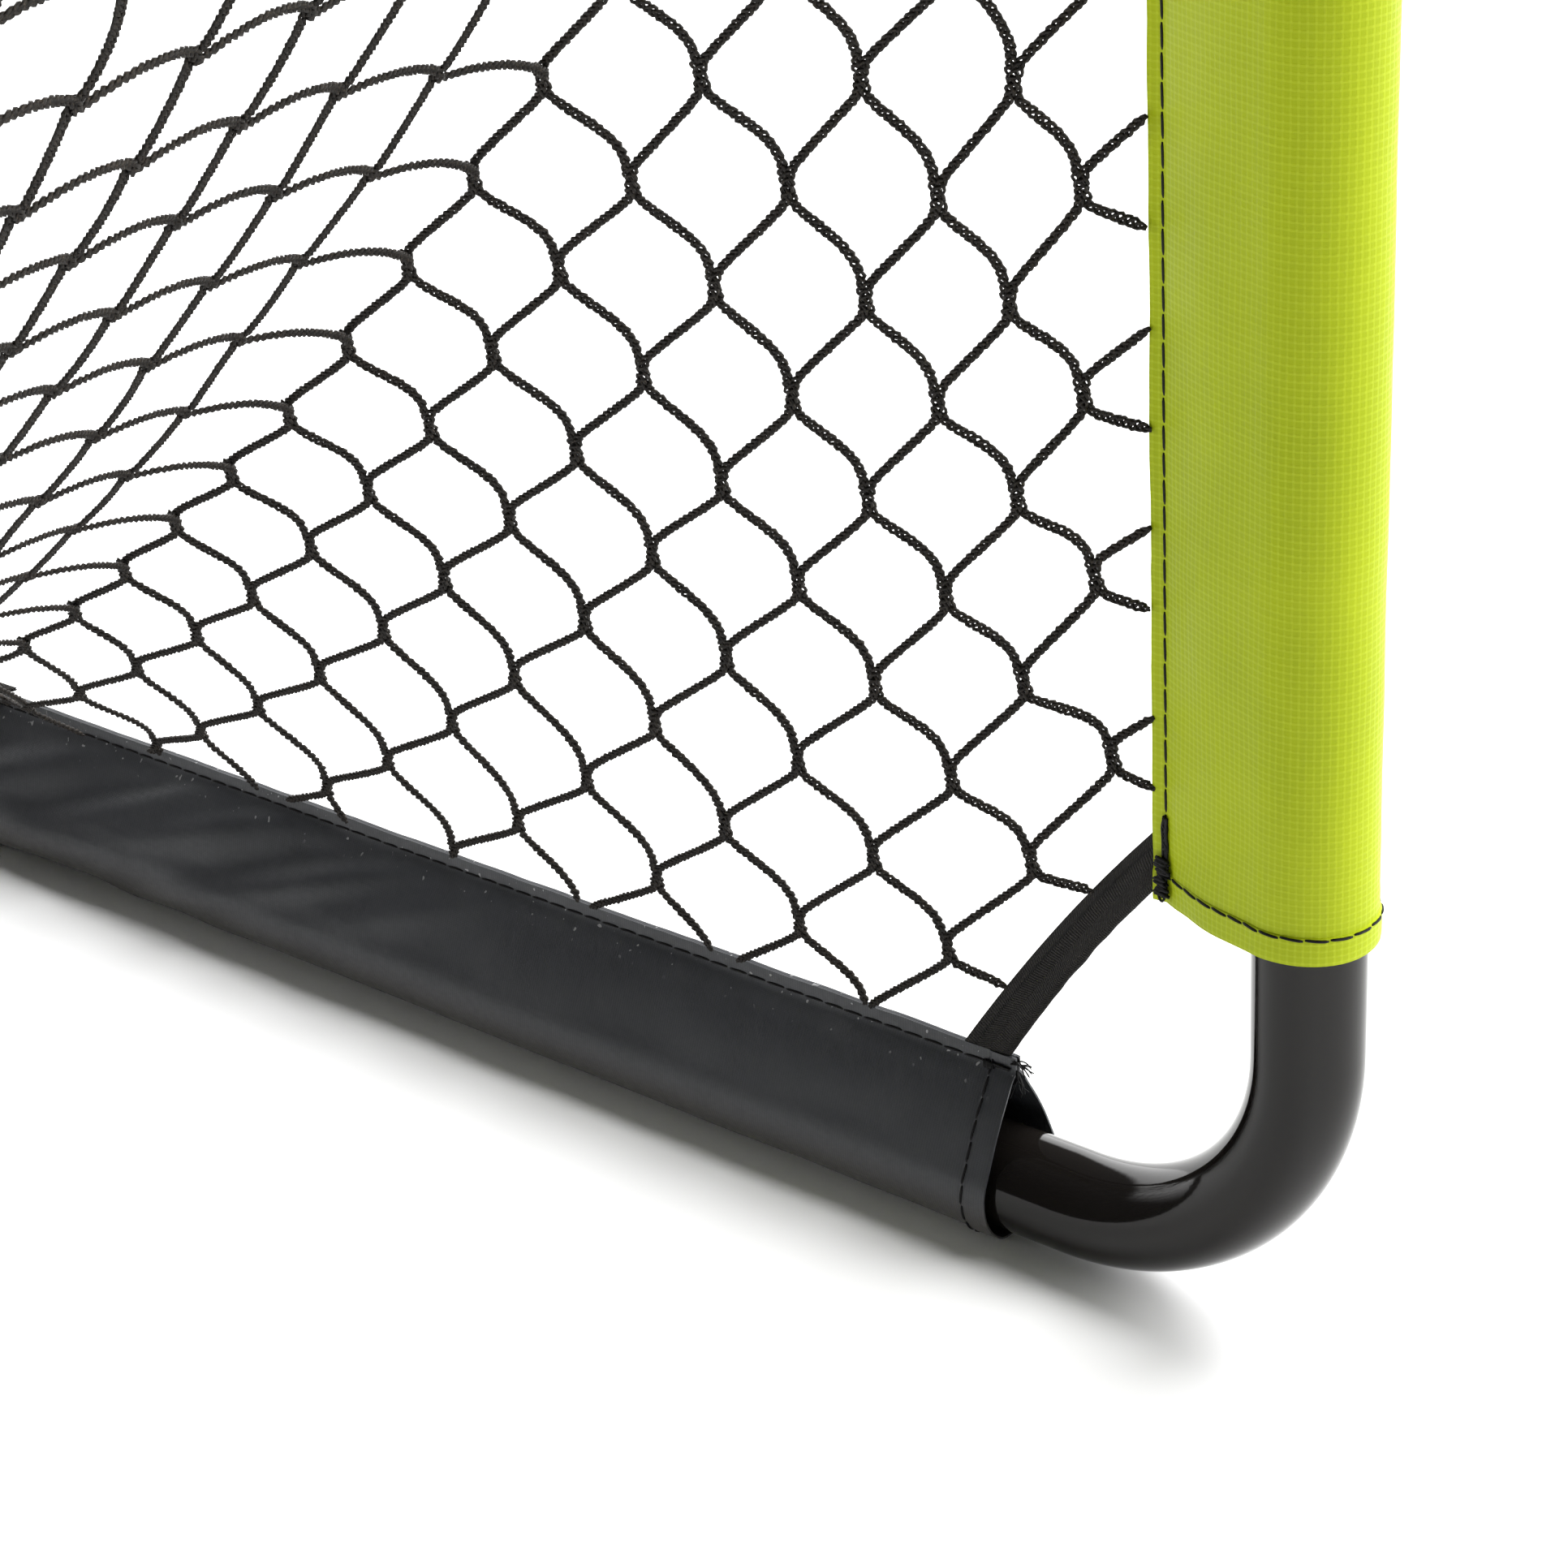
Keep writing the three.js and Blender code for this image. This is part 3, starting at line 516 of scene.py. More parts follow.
def section(seam, walls=14, arc=30, pillow=1.0):
    """Centre line of the cloth across a sleeve, from one sewn edge round the tube to the other, with a role for each point."""
    r, us = SLEEVE_R - CLOTH / 2, seam - FLANGE
    pts, role = [], []
    for f in (0.0, 0.25, 0.6, 1.0):
        pts.append((seam - FLANGE * f, 0.5)); role.append(0.0 if f < 1 else 0.02)
    phi = math.acos(r / math.hypot(us, 0.5)) + math.atan2(0.5, us)
    tx, ty = r * math.cos(phi), r * math.sin(phi)
    L = math.hypot(us - tx, ty - 0.5)
    nx, ny = math.sin(math.atan2(ty - 0.5, us - tx)), math.cos(math.atan2(ty - 0.5, us - tx))
    for i in range(1, walls):
        t = i / walls
        k = pillow * (math.sin(math.pi * t) ** 1.3) + 0.35 * math.sin(math.pi * min(1, t * 4)) * (1 if t < .25 else 0)
        pts.append((us + (tx - us) * t + nx * k, 0.5 + (ty - 0.5) * t + ny * k))
        role.append(min(1.0, 4 * t) * (1 - 0.55 * t))
    for i in range(arc + 1):
        a = phi + (2 * math.pi - 2 * phi) * i / arc
        pts.append((r * math.cos(a), r * math.sin(a))); role.append(0.3)
    half = [(x, -y) for x, y in pts[: 4 + walls - 1]][::-1]
    pts += half
    role += role[: 4 + walls - 1][::-1]
    return np.array(pts), np.array(role)


def hem_rows(length, step):
    ends = [0.0, 0.35, 1.2, 3.0, 5.0, 7.0, 8.3, 8.8, 9.1, 9.5, 10.6, 12.5, 15.0]
    n = max(2, int((length - 34) / step))
    mid = list(np.linspace(18, length - 18, n))
    return np.array(ends + mid + [length - e for e in reversed(ends)])


def sleeve(name, node, start, W, U, length, seam, mat, mirror=False, floor=None, step=4.0, fold=None, seed=1.0, tip_drop=None):
    """One closed cloth body: the strip that wraps the tube, sewn along its two edges."""
    Vd = np.cross(W, U)
    c2, role = section(seam, pillow=1.1 if seam > 40 else 0.8)
    seg = np.concatenate([[0], np.cumsum(np.linalg.norm(np.diff(c2, axis=0), axis=1))])
    rows = hem_rows(length, step)
    ni, nj = len(rows), len(c2)
    P = np.zeros((ni, nj, 3))
    thick = np.zeros((ni, nj))
    for i, w in enumerate(rows):
        e = min(w, length - w)
        hem = float(1 - ramp(e, HEM - 0.3, HEM + 0.15))
        edge = float(1 - ramp(e, 0.0, 1.1))
        for j in range(nj):
            u, v = c2[j]
            flange = 1.0 if (j < 4 or j >= nj - 4) else 0.0
            t = CLOTH + (LAYER - CLOTH) * max(hem, flange)
            if flange and hem > 0:
                t = LAYER * 1.35
            t *= 1 - 0.35 * edge
            out = unit(np.array([u, v * 1.6])) if not flange else np.array([0.0, math.copysign(1, v)])
            lift = (0.42 * hem * (0 if flange else 1)) + (0.3 * hem if flange else 0)
            # soft unevenness of the cloth
            q = (w + 300 * seed, seg[j], 40 * seed)
            amp = role[j]
            d = amp * (1.15 * wobble(q, 62, seed) + 0.55 * wobble(q, 23, seed + 3)) * (1 if seam > 40 else 0.85)
            # small puckers pulled by each run of stitches
            near = math.exp(-((seg[j] - FLANGE) / 5.0) ** 2) + math.exp(-((seg[-1] - seg[j] - FLANGE) / 5.0) ** 2)
            d += 0.22 * near * wobble((w, 0, 9 * seed), 8.5, seed + 5) * (0 if flange else 1)
            if hem > 0 or e < 16:
                d += 0.25 * wobble((seg[j], w * 0.3, 7), 14, seed + 8) * (0 if flange else 1)
            if fold is not None:
                d += fold(w, seg[j], seg[-1]) * amp
            u2, v2 = u + out[0] * (lift + d), v + out[1] * (lift + d)
            if flange:
                u2 += (0.32 * wobble((w, 0, 3), 17, seed) + 0.12 * wobble((w, 1, 3), 5, seed)) * (1 if j in (0, 1, nj - 1, nj - 2) else 0.3)
                sway = 0.35 * wobble((w, 5, 1), 40, seed + 2)
                v2 += sway * (seam - u) / FLANGE * 0 + sway * max(0.0, 1 - (seam - u) / FLANGE)
            p = start + W * w + U * u2 + Vd * v2
            if tip_drop is not None:
                p = p + tip_drop(w, u, v)
            if floor is not None:
                lowest = CLOTH / 2 + 0.05 + 0.2 * hem
                if p[2] < lowest + 1.2:
                    p[2] = lowest + 1.2 * math.exp((p[2] - lowest - 1.2) / 1.2)
            P[i, j] = p
            thick[i, j] = t
    nrm = unit(np.cross(np.gradient(P, axis=1), np.gradient(P, axis=0)))
    ref = P - (start + W * ((P - start) @ W)[..., None])
    if (nrm * ref)[:, nj // 2 - 4: nj // 2 + 4].sum() < 0:
        nrm = -nrm
    outer, inner = P + nrm * thick[..., None] / 2, P - nrm * thick[..., None] / 2
    if floor is not None:
        outer[..., 2] = np.maximum(outer[..., 2], 0.05)
        inner[..., 2] = np.maximum(inner[..., 2], 0.35)
    verts = np.concatenate([outer.reshape(-1, 3), inner.reshape(-1, 3)])
    I, J = np.meshgrid(np.arange(ni - 1), np.arange(nj - 1), indexing="ij")
    a = (I * nj + J).ravel()
    q1 = np.stack([a, a + 1, a + nj + 1, a + nj], -1)
    off = ni * nj
    q2 = q1[:, ::-1] + off
    j = np.arange(nj - 1)
    s = (ni - 1) * nj
    e0 = np.stack([j + 1, j, j + off, j + 1 + off], -1)
    e1 = np.stack([s + j, s + j + 1, s + j + 1 + off, s + j + off], -1)
    i = np.arange(ni - 1) * nj
    f0 = np.stack([i, i + nj, i + nj + off, i + off], -1)
    f1 = np.stack([i + nj + nj - 1, i + nj - 1, i + nj - 1 + off, i + nj + nj - 1 + off], -1)
    quads = np.concatenate([q1, q2, e0, e1, f0, f1])
    uv = np.stack(np.meshgrid(rows, seg, indexing="ij"), -1).reshape(-1, 2)
    ob = build(name, verts, quads, None, mat, np.concatenate([uv, uv]), mirror=mirror)
    bm_fix(ob)
    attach(ob, "frame")
    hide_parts(node)
    return {"P": P, "nrm": nrm, "thick": thick, "rows": rows, "seg": seg, "c2": c2, "obj": ob, "mirror": mirror}


def bm_fix(ob):
    import bmesh
    bm = bmesh.new()
    bm.from_mesh(ob.data)
    bmesh.ops.recalc_face_normals(bm, faces=bm.faces)
    for ed in bm.edges:
        ed.smooth = not (len(ed.link_faces) == 2 and ed.calc_face_angle(0) > 0.95)
    bm.to_mesh(ob.data)
    bm.free()


def surface_point(S, w, s, side=1.0, lift=0.0):
    """A point on the outer (or inner) face of a sleeve at w along and s across, with its normal."""
    fi = np.interp(w, S["rows"], np.arange(len(S["rows"])))
    fj = np.interp(s, S["seg"], np.arange(len(S["seg"])))
    i, j = min(int(fi), len(S["rows"]) - 2), min(int(fj), len(S["seg"]) - 2)
    a, b = fi - i, fj - j

    def pick(A):
        return (A[i, j] * (1 - a) + A[i + 1, j] * a) * (1 - b) + (A[i, j + 1] * (1 - a) + A[i + 1, j + 1] * a) * b
    n = unit(pick(S["nrm"]))
    return pick(S["P"]) + n * (side * pick(S["thick"]) / 2 + lift), n


THREAD_R = 0.47


def stitch_run(soup, S, path, pitch=7.6, seen=6.9, slant=0.28, seed=0.0, side=1.0):
    """Separate lockstitches along path(d) -> (w, s), each dipping into the cloth at both ends."""
    total, at = path
    n = int(total / pitch)
    for k in range(n):
        d0 = (k + 0.5) * total / n - seen / 2
        jit = 0.22 * wobble((k * 3.1, seed, 1), 2.3, seed)
        pts = []
        for t in np.linspace(0, 1, 8):
            w, s = at(d0 + seen * t + jit)
            p, nn = surface_point(S, w, s + slant * (0.5 - t) + 0.12 * math.sin(math.pi * t), side)
            h = 0.24 * math.sin(math.pi * t) ** 0.5 - 0.16
            pts.append(p + nn * side * h)
        r = THREAD_R * np.array([0.75, 1, 1, 1, 1, 1, 1, 0.75])
        v, q, tr = tube_along(np.array(pts), nn, r, 6)
        soup.add(v, q, tr)


def hem_path(S, end, inset):
    s0, s1 = FLANGE * 0.5, S["seg"][-1] - FLANGE * 0.5
    w = inset if end == 0 else S["rows"][-1] - inset
    return s1 - s0, (lambda d: (w, s0 + d))


def seam_path(S, s, skip0=3.0, skip1=3.0):
    L = S["rows"][-1]
    return L - skip0 - skip1, (lambda d: (skip0 + d, s))


def stitched(S, name, seed, hem_inset=HEM - 0.6, skip=(4.0, 4.0)):
    soup = Soup()
    last = S["seg"][-1]
    stitch_run(soup, S, seam_path(S, FLANGE * 0.98, *skip), seed=seed)
    stitch_run(soup, S, seam_path(S, last - FLANGE * 0.98, *skip), seed=seed + 1)
    for end in (0, 1):
        total, at = hem_path(S, end, hem_inset)
        n = max(6, int(total / 6.6))
        for k in range(n):
            d0 = (k + 0.5) * total / n - 3.1
            pts = []
            for t in np.linspace(0, 1, 8):
                w, s = at(d0 + 6.2 * t)
                w += (0.30 * (0.5 - t) + 0.25 * wobble((s, 0, end), 12, seed)) * (1 if end == 0 else -1)
                p, nn = surface_point(S, w, min(max(s, 0.2), last - 0.2))
                pts.append(p + nn * (0.22 * math.sin(math.pi * t) ** 0.5 - 0.15))
            v, q, tr = tube_along(np.array(pts), nn, THREAD_R * np.array([0.75, 1, 1, 1, 1, 1, 1, 0.75]) * 0.95, 6)
            soup.add(v, q, tr)
    ob = soup.make(name, THREAD, mirror=S["mirror"])
    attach(ob, "frame")
    return ob


def lime_fold(seed):
    def f(w, s, total):
        # broad, shallow vertical panels, and a few soft dents low on the wall
        d = 0.0
        t, h = min(s, total - s), w
        r = math.hypot(t, h - 8)
        if r < 70:
            a = math.atan2(h - 8, t + 1)
            d = 0.75 * math.sin(a * 6.5 + 0.8) * min(r / 9, 1) * math.exp(-(r / 30) ** 2)
        return d + 0.35 * math.sin(s / 11.0 + 0.6 * math.sin(w / 60 + seed)) + 0.5 * wobble((w * 0.35, s, 2), 30, seed)
    return f


def dark_fold(seed, where):
    def f(w, s, total):
        t = min(s, total - s)
        d = 0.0
        for c, a, wd, sl in where:
            x = (w - c) - sl * (t - 14)
            d += a * math.exp(-(x / wd) ** 2)
        return d
    return f


POST_LEN, SIDE_LEN = POST_TOP - POST_HEM_Z, 478.0
CROSS_LEN, REAR_LEN = 955.0, 959.0


def corner_sag(w, u, v):
    # the sewn corner at the lower hem hangs a little lower than the tube side
    near = max(0.0, 1 - w / 40.0)
    k = near * max(0.0, (u - 12) / 38.6)
    return np.array([0.0, 0.0, -1.3 * k * k + 3.0 * near * float(1 - ramp(u, -4, 30))])


SLEEVES = {}
for word, mir in (("right", False), ("left", True)):
    S = sleeve(f"{word}_post_ripstop_sleeve", f"{word}_post_sleeve", V3(POST_X, POST_Y, POST_HEM_Z), V3(0, 0, 1), V3(0, 1, 0), POST_LEN, POST_SEAM, LIME,
               mirror=mir, fold=lime_fold(1.0), seed=1.0 if not mir else 2.2, tip_drop=corner_sag)
    SLEEVES[f"{word}_post"] = S
    stitched(S, f"{word}_post_sleeve_stitching", 1.5 if not mir else 2.7)
SLEEVES["cross"] = sleeve("crossbar_ripstop_sleeve", "crossbar_sleeve", V3(-CROSS_LEN / 2, POST_Y, TOP_Z), V3(1, 0, 0), CROSS_U, CROSS_LEN, POST_SEAM, LIME,
                          fold=lime_fold(3.0), seed=3.0, step=5.0)
stitched(SLEEVES["cross"], "crossbar_sleeve_stitching", 3.3)
SIDE_FOLDS = [(222, 2.2, 16, 2.4), (256, 3.0, 14, 2.7), (290, -1.8, 14, 2.4), (322, 3.1, 17, 2.9), (360, 2.4, 13, 2.3), (384, -1.6, 14, 2.4), (418, 2.8, 17, 2.6), (150, 0.8, 24, 1.6), (60, 0.7, 20, 1.2), (455, -1.2, 12, 1.4)]
for word, mir in (("right", False), ("left", True)):
    S = sleeve(f"{word}_side_coated_sleeve", f"{word}_side_sleeve", V3(POST_X, -240.0, GROUND_Z), V3(0, 1, 0), V3(0, 0, 1), SIDE_LEN, BAR_SEAM, CHARCOAL,
               mirror=mir, floor=0.0, fold=dark_fold(4.0, SIDE_FOLDS), seed=4.0 if not mir else 5.1)
    SLEEVES[f"{word}_side"] = S
    stitched(S, f"{word}_side_sleeve_stitching", 4.4 if not mir else 5.6)
REAR_FOLDS = [(120, 1.3, 17, 1.9), (260, 1.7, 18, -2.3), (430, 1.1, 17, 2.2), (600, 1.6, 15, 2.5), (760, 1.4, 17, -2.1), (880, 1.2, 16, 1.8)]
SLEEVES["rear"] = sleeve("rear_bar_coated_sleeve", "rear_bar_sleeve", V3(-REAR_LEN / 2, REAR_Y, GROUND_Z), V3(1, 0, 0), REAR_U, REAR_LEN, REAR_SEAM, CHARCOAL,
                         floor=0.0, fold=dark_fold(6.0, REAR_FOLDS), seed=6.0, step=5.0)
stitched(SLEEVES["rear"], "rear_bar_sleeve_stitching", 6.3)


# --------------------------------------------- bar tacks and loose thread ends
def smooth_line(pts, n):
    """Centripetal curve through pts, n samples a segment."""
    P = np.array(pts, float)
    P = np.concatenate([[2 * P[0] - P[1]], P, [2 * P[-1] - P[-2]]])
    out = []
    for i in range(1, len(P) - 2):
        p0, p1, p2, p3 = P[i - 1:i + 3]
        t0 = 0.0
        t1 = t0 + max(np.linalg.norm(p1 - p0), 1e-6) ** .5
        t2 = t1 + max(np.linalg.norm(p2 - p1), 1e-6) ** .5
        t3 = t2 + max(np.linalg.norm(p3 - p2), 1e-6) ** .5
        t = np.linspace(t1, t2, n, endpoint=False)[:, None]
        a1 = (t1 - t) / (t1 - t0) * p0 + (t - t0) / (t1 - t0) * p1
        a2 = (t2 - t) / (t2 - t1) * p1 + (t - t1) / (t2 - t1) * p2
        a3 = (t3 - t) / (t3 - t2) * p2 + (t - t2) / (t3 - t2) * p3
        b1 = (t2 - t) / (t2 - t0) * a1 + (t - t0) / (t2 - t0) * a2
        b2 = (t3 - t) / (t3 - t1) * a2 + (t - t1) / (t3 - t1) * a3
        out.append((t2 - t) / (t2 - t1) * b1 + (t - t1) / (t2 - t1) * b2)
    out.append(P[-2][None])
    return np.concatenate(out)


def thread_on(soup, S, pts, r, from_far=False):
    """A thread over the cloth; pts are (along, in from the sewn edge, height)."""
    last = S["seg"][-1]
    out = []
    for w, s, h in pts:
        p, nn = surface_point(S, w, last - s if from_far else s)
        out.append(p + nn * h)
    line = smooth_line(out, 5)
    v, q, t = tube_along(line, nn, r, 6)
    soup.add(v, q, t)


rng = np.random.default_rng(7)


def bar_tack(S, name, at_end, reach, heavy, mirror):
    soup = Soup()
    L = S["rows"][-1]

    def pos(w):
        return L - w if at_end else w
    for far in (False, True):
        for lane in range(5 if heavy else 2):
            pts, w = [], 1.6 + 0.6 * lane
            while w < reach:
                pts.append((pos(w), FLANGE + 0.1 + (lane - 1.5) * 0.5 + rng.uniform(-0.35, 0.35), 0.35 + rng.uniform(0, 0.45)))
                w += rng.uniform(1.8, 3.4)
            thread_on(soup, S, pts, 0.42, far)
        if heavy:
            pts = []
            for k in range(44):
                w = 3.0 + k * 0.24 + rng.uniform(-0.5, 0.5)
                s = (2.1 if k % 2 else 7.6) + rng.uniform(-0.9, 0.9)
                pts.append((pos(w), s, 0.7 + rng.uniform(0, 1.0)))
            thread_on(soup, S, pts, 0.56, far)
            # the last few stitches run back up the seam more loosely, and one loop hangs out
            pts = [(pos(16.0 + 1.3 * k), FLANGE + (1.1 if k % 2 else -0.6) + rng.uniform(-.3, .3), 0.5 + rng.uniform(0, .4)) for k in range(9)]
            thread_on(soup, S, pts, 0.4, far)
            loop = [(pos(6.0), 4.2, 0.8), (pos(4.0), 3.4, 1.2), (pos(2.2), 3.6, 1.6), (pos(1.0), 4.9, 1.7), (pos(1.6), 6.4, 1.5), (pos(3.4), 6.6, 1.0), (pos(5.4), 6.0, 0.5)]
            thread_on(soup, S, loop, 0.42, far)
        else:
            pts = []
            for k in range(12):
                pts.append((pos(HEM - 1.5 + 0.35 * k + rng.uniform(-.2, .2)), (4.0 if k % 2 else 6.6) + rng.uniform(-.4, .4), 0.45 + rng.uniform(0, .3)))
            thread_on(soup, S, pts, 0.38, far)
    ob = soup.make(name, THREAD, mirror=mirror)
    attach(ob, "frame")
    return ob


for word, mir in (("right", False), ("left", True)):
    S = SLEEVES[f"{word}_post"]
    bar_tack(S, f"{word}_post_lower_bar_tack", False, 27.0, True, mir)
    bar_tack(S, f"{word}_post_upper_bar_tack", True, 24.0, True, mir)
    S = SLEEVES[f"{word}_side"]
    bar_tack(S, f"{word}_side_front_bar_tack", False, 12.0, False, mir)
    bar_tack(S, f"{word}_side_rear_bar_tack", True, 12.0, False, mir)
for S, nm in ((SLEEVES["cross"], "crossbar"), (SLEEVES["rear"], "rear_bar")):
    bar_tack(S, f"{nm}_right_bar_tack", True, 22.0 if nm == "crossbar" else 12.0, nm == "crossbar", False)
    bar_tack(S, f"{nm}_left_bar_tack", False, 22.0 if nm == "crossbar" else 12.0, nm == "crossbar", False)


# -------------------------------------------------------------- corner tapes
def tape(name, node, a0, a1, b0, b1, bow_a, bow_b, mirror, seed):
    """Woven tape folded over the net's edge: a is its open edge on the net, b its fold."""
    n = 44
    t = np.linspace(-0.028, 1.028, n)
    k = (4 * t * (1 - t)).clip(0)[:, None]
    A = a0 + (a1 - a0) * t[:, None] + bow_a * k
    B = b0 + (b1 - b0) * t[:, None] + bow_b * k
    along = unit(np.gradient((A + B) / 2, axis=0))
    across = unit(B - A)
    nrm = unit(np.cross(along, across))
    width = np.linalg.norm(B - A, axis=1)
    # section: layer centre lines, as (share of the width from a, height off the middle)
    sec = [(0.0, 0.62), (0.05, 0.60), (0.12, 0.56), (0.19, 0.40), (0.22, 0.36), (0.25, 0.42), (0.31, 0.78), (0.40, 0.98), (0.52, 1.06), (0.64, 1.06),
           (0.76, 1.0), (0.86, 0.9), (0.93, 0.72), (0.975, 0.42), (0.992, 0.0)]
    full = sec + [(f, -h) for f, h in sec[:-1]][::-1]
    end = np.minimum(ramp(t, -0.03, 0.06), 1 - ramp(t, 0.94, 1.03))
    seg = [0.0]
    P = np.zeros((n, len(full), 3))
    for j, (f, h) in enumerate(full):
        for i in range(n):
            wob = 0.30 * wobble((t[i] * 100, f * 3, h * 2), 9, seed) * (1 if f > 0.3 else 0.35)
            edge_wob = 0.35 * wobble((t[i] * 100, 1, 5), 6, seed + 2) * ramp(f, 0.8, 1.0)
            hh = math.copysign(1, h) * (0.36 + (abs(h) - 0.36) * end[i]) if h else 0.0
            P[i, j] = A[i] + across[i] * (f * width[i] + edge_wob + 0.12 * wob) + nrm[i] * (hh * 1.0 + wob * end[i] * 0.5)
    seg = np.concatenate([[0], np.cumsum(np.linalg.norm(np.diff(P[n // 2], axis=0), axis=1))])
    gN = unit(np.cross(np.gradient(P, axis=1), np.gradient(P, axis=0)))
    if (gN[:, 6:10] * nrm[:, None]).sum() < 0:
        gN = -gN
    th = 0.62
    outer, inner = P + gN * th / 2, P - gN * th / 2
    ni, nj = n, len(full)
    verts = np.concatenate([outer.reshape(-1, 3), inner.reshape(-1, 3)])
    I, J = np.meshgrid(np.arange(ni - 1), np.arange(nj - 1), indexing="ij")
    a = (I * nj + J).ravel()
    q1 = np.stack([a, a + 1, a + nj + 1, a + nj], -1)
    off = ni * nj
    j = np.arange(nj - 1)
    s = (ni - 1) * nj
    i = np.arange(ni - 1) * nj
    quads = np.concatenate([q1, q1[:, ::-1] + off, np.stack([j + 1, j, j + off, j + 1 + off], -1), np.stack([s + j, s + j + 1, s + j + 1 + off, s + j + off], -1),
                            np.stack([i, i + nj, i + nj + off, i + off], -1), np.stack([i + nj + nj - 1, i + nj - 1, i + nj - 1 + off, i + nj + nj - 1 + off], -1)])
    run = np.concatenate([[0], np.cumsum(np.linalg.norm(np.diff((A + B) / 2, axis=0), axis=1))])
    uv = np.stack(np.meshgrid(run, seg, indexing="ij"), -1).reshape(-1, 2)
    ob = build(name, verts, quads, None, TAPE, np.concatenate([uv, uv]), mirror=mirror)
    sub = ob.modifiers.new("smooth", "SUBSURF")
    sub.levels = sub.render_levels = 1
    bm_fix(ob)
    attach(ob, "frame")
    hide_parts(node)
    return seg[-1], run[-1]


post_seam_y, bar_seam_z = POST_Y + POST_SEAM + 0.6, GROUND_Z + BAR_SEAM + 0.6
cross_seam, rear_seam = V3(0, POST_Y, TOP_Z) + CROSS_U * (POST_SEAM + 0.6), V3(0, REAR_Y, GROUND_Z) + REAR_U * (REAR_SEAM + 0.6)
TAPES = {
    "front": (V3(POST_X, post_seam_y, 150), V3(POST_X, POST_Y + 118.7, bar_seam_z), V3(POST_X, post_seam_y, 131.5), V3(POST_X, POST_Y + 102, bar_seam_z), V3(0, 0, 3.6), V3(0, 0, 2.7)),
    "top": (V3(POST_X - 0.6, post_seam_y + 0.9, POST_TOP - 19), V3(460.5, cross_seam[1] + 0.5, cross_seam[2] - 0.9),
            V3(POST_X - 0.6, post_seam_y + 0.9, POST_TOP - 0.5), V3(476.5, cross_seam[1] + 0.5, cross_seam[2] - 0.9), V3(3, 0, 5), V3(3, 0, 3)),
    "rear": (V3(POST_X - 0.6, 221, bar_seam_z + 0.9), V3(462.5, rear_seam[1] - 0.9, rear_seam[2] + 0.5),
             V3(POST_X - 0.6, 237, bar_seam_z + 0.9), V3(478.5, rear_seam[1] - 0.9, rear_seam[2] + 0.5), V3(3, 5.5, -1.5), V3(3, 3.5, -1.5)),
}
TAPE_SIZES = {}
for word, mir in (("right", False), ("left", True)):
    for place, args in TAPES.items():
        TAPE_SIZES[place] = tape(f"{place}_{word}_herringbone_tape", f"{place}_{word}_corner_tape", *args, mir, 11.0 + 3 * mir + len(place))


# ----------------------------------------------------------------- net lattice
class Spline:
    """A curve through points, sampled by arc length. Points are (x, distance behind the posts, z)."""
    def __init__(self, pts):
        self.p = smooth_line(pts, 40)
        self.s = np.concatenate([[0], np.cumsum(np.linalg.norm(np.diff(self.p, axis=0), axis=1))])
        self.length = self.s[-1]

    def at(self, d):
        if d <= 0:
            return self.p[0] + unit(self.p[1] - self.p[0]) * d
        if d >= self.length:
            return self.p[-1] + unit(self.p[-1] - self.p[-2]) * (d - self.length)
        return np.array([np.interp(d, self.s, self.p[:, c]) for c in range(3)])

    def arc_of(self, q):
        return self.s[int(np.argmin(((self.p - np.array(q, float)) ** 2).sum(1)))]


FOLD = Spline([(522, 38, 582), (524, 74, 526), (528, 130, 451), (531, 213, 355), (531.5, 272, 293), (531.5, 332, 234),
               (531.5, 393, 184), (531, 450, 140), (528, 515, 99), (523, 594, 58)])
BESIDE = Spline([(0, 25, 615), (0, 66, 542), (0, 118, 470), (0, 165, 416), (0, 217, 359), (0, 288, 288), (0, 361, 221),
                 (0, 439, 159), (0, 504, 116), (0, 560, 83), (0, 645, 47.5)])
MIDDLE = Spline([(0, 23, 623.5), (0, 44, 571), (0, 73, 511), (0, 107, 455), (0, 145, 406), (0, 203, 347), (0, 281, 281),
                 (0, 358, 218), (0, 453, 145), (0, 540, 93), (0, 648, 45.5)])
F0, B0, M0 = FOLD.arc_of((531, 213, 355)), BESIDE.arc_of((0, 217, 359)), MIDDLE.arc_of((0, 203, 347))


def down_slope(m):
    """Arc length of row m from row 0: the mesh is slack at the top and close at the bottom."""
    if m < 0:
        return 44.6 * m
    if m <= 9:
        return 44.6 * m - 0.58 * m * m
    return 354.4 + 34.0 * (m - 9)


SIDE_S = [214.0673, 29.8459, -0.2478, 0.0267, -20.8343, -1.7078, 0.362, 0.4788, 0.1277, -0.0857]
SIDE_Z = [356.1579, -33.4017, 0.6944, 0.01, -27.7398, 2.0366, -0.1101, -1.2212, -0.3881, 0.2008]
TOP_ROW = {1: -1, 2: -2, 3: -3, 4: -3, 5: -2, 6: -1, 7: 0, 8: 1}


def poly(c, k, m):
    r, i = 0.0, 0
    for a in range(4):
        for b in range(4 - a):
            r += c[i] * k ** a * m ** b
            i += 1
    return r


def fold_node(m):
    return FOLD.at(F0 + down_slope(m))


FOLD_PTS = FOLD.p[::6]


def inward(s, z):
    """x of the side panel: on the fold it stands in from the frame, at the seams it lies in the frame's plane."""
    d1, d2 = max(s - 50.6, .5), max(z - 60.2, .5)
    ds = (d1 ** -2 + d2 ** -2) ** -.5
    d = (FOLD_PTS[:, 1] - s) ** 2 + (FOLD_PTS[:, 2] - z) ** 2
    i = int(np.argmin(d))
    return POST_X - (POST_X - FOLD_PTS[i, 0]) * ds / (ds + math.sqrt(d[i]))


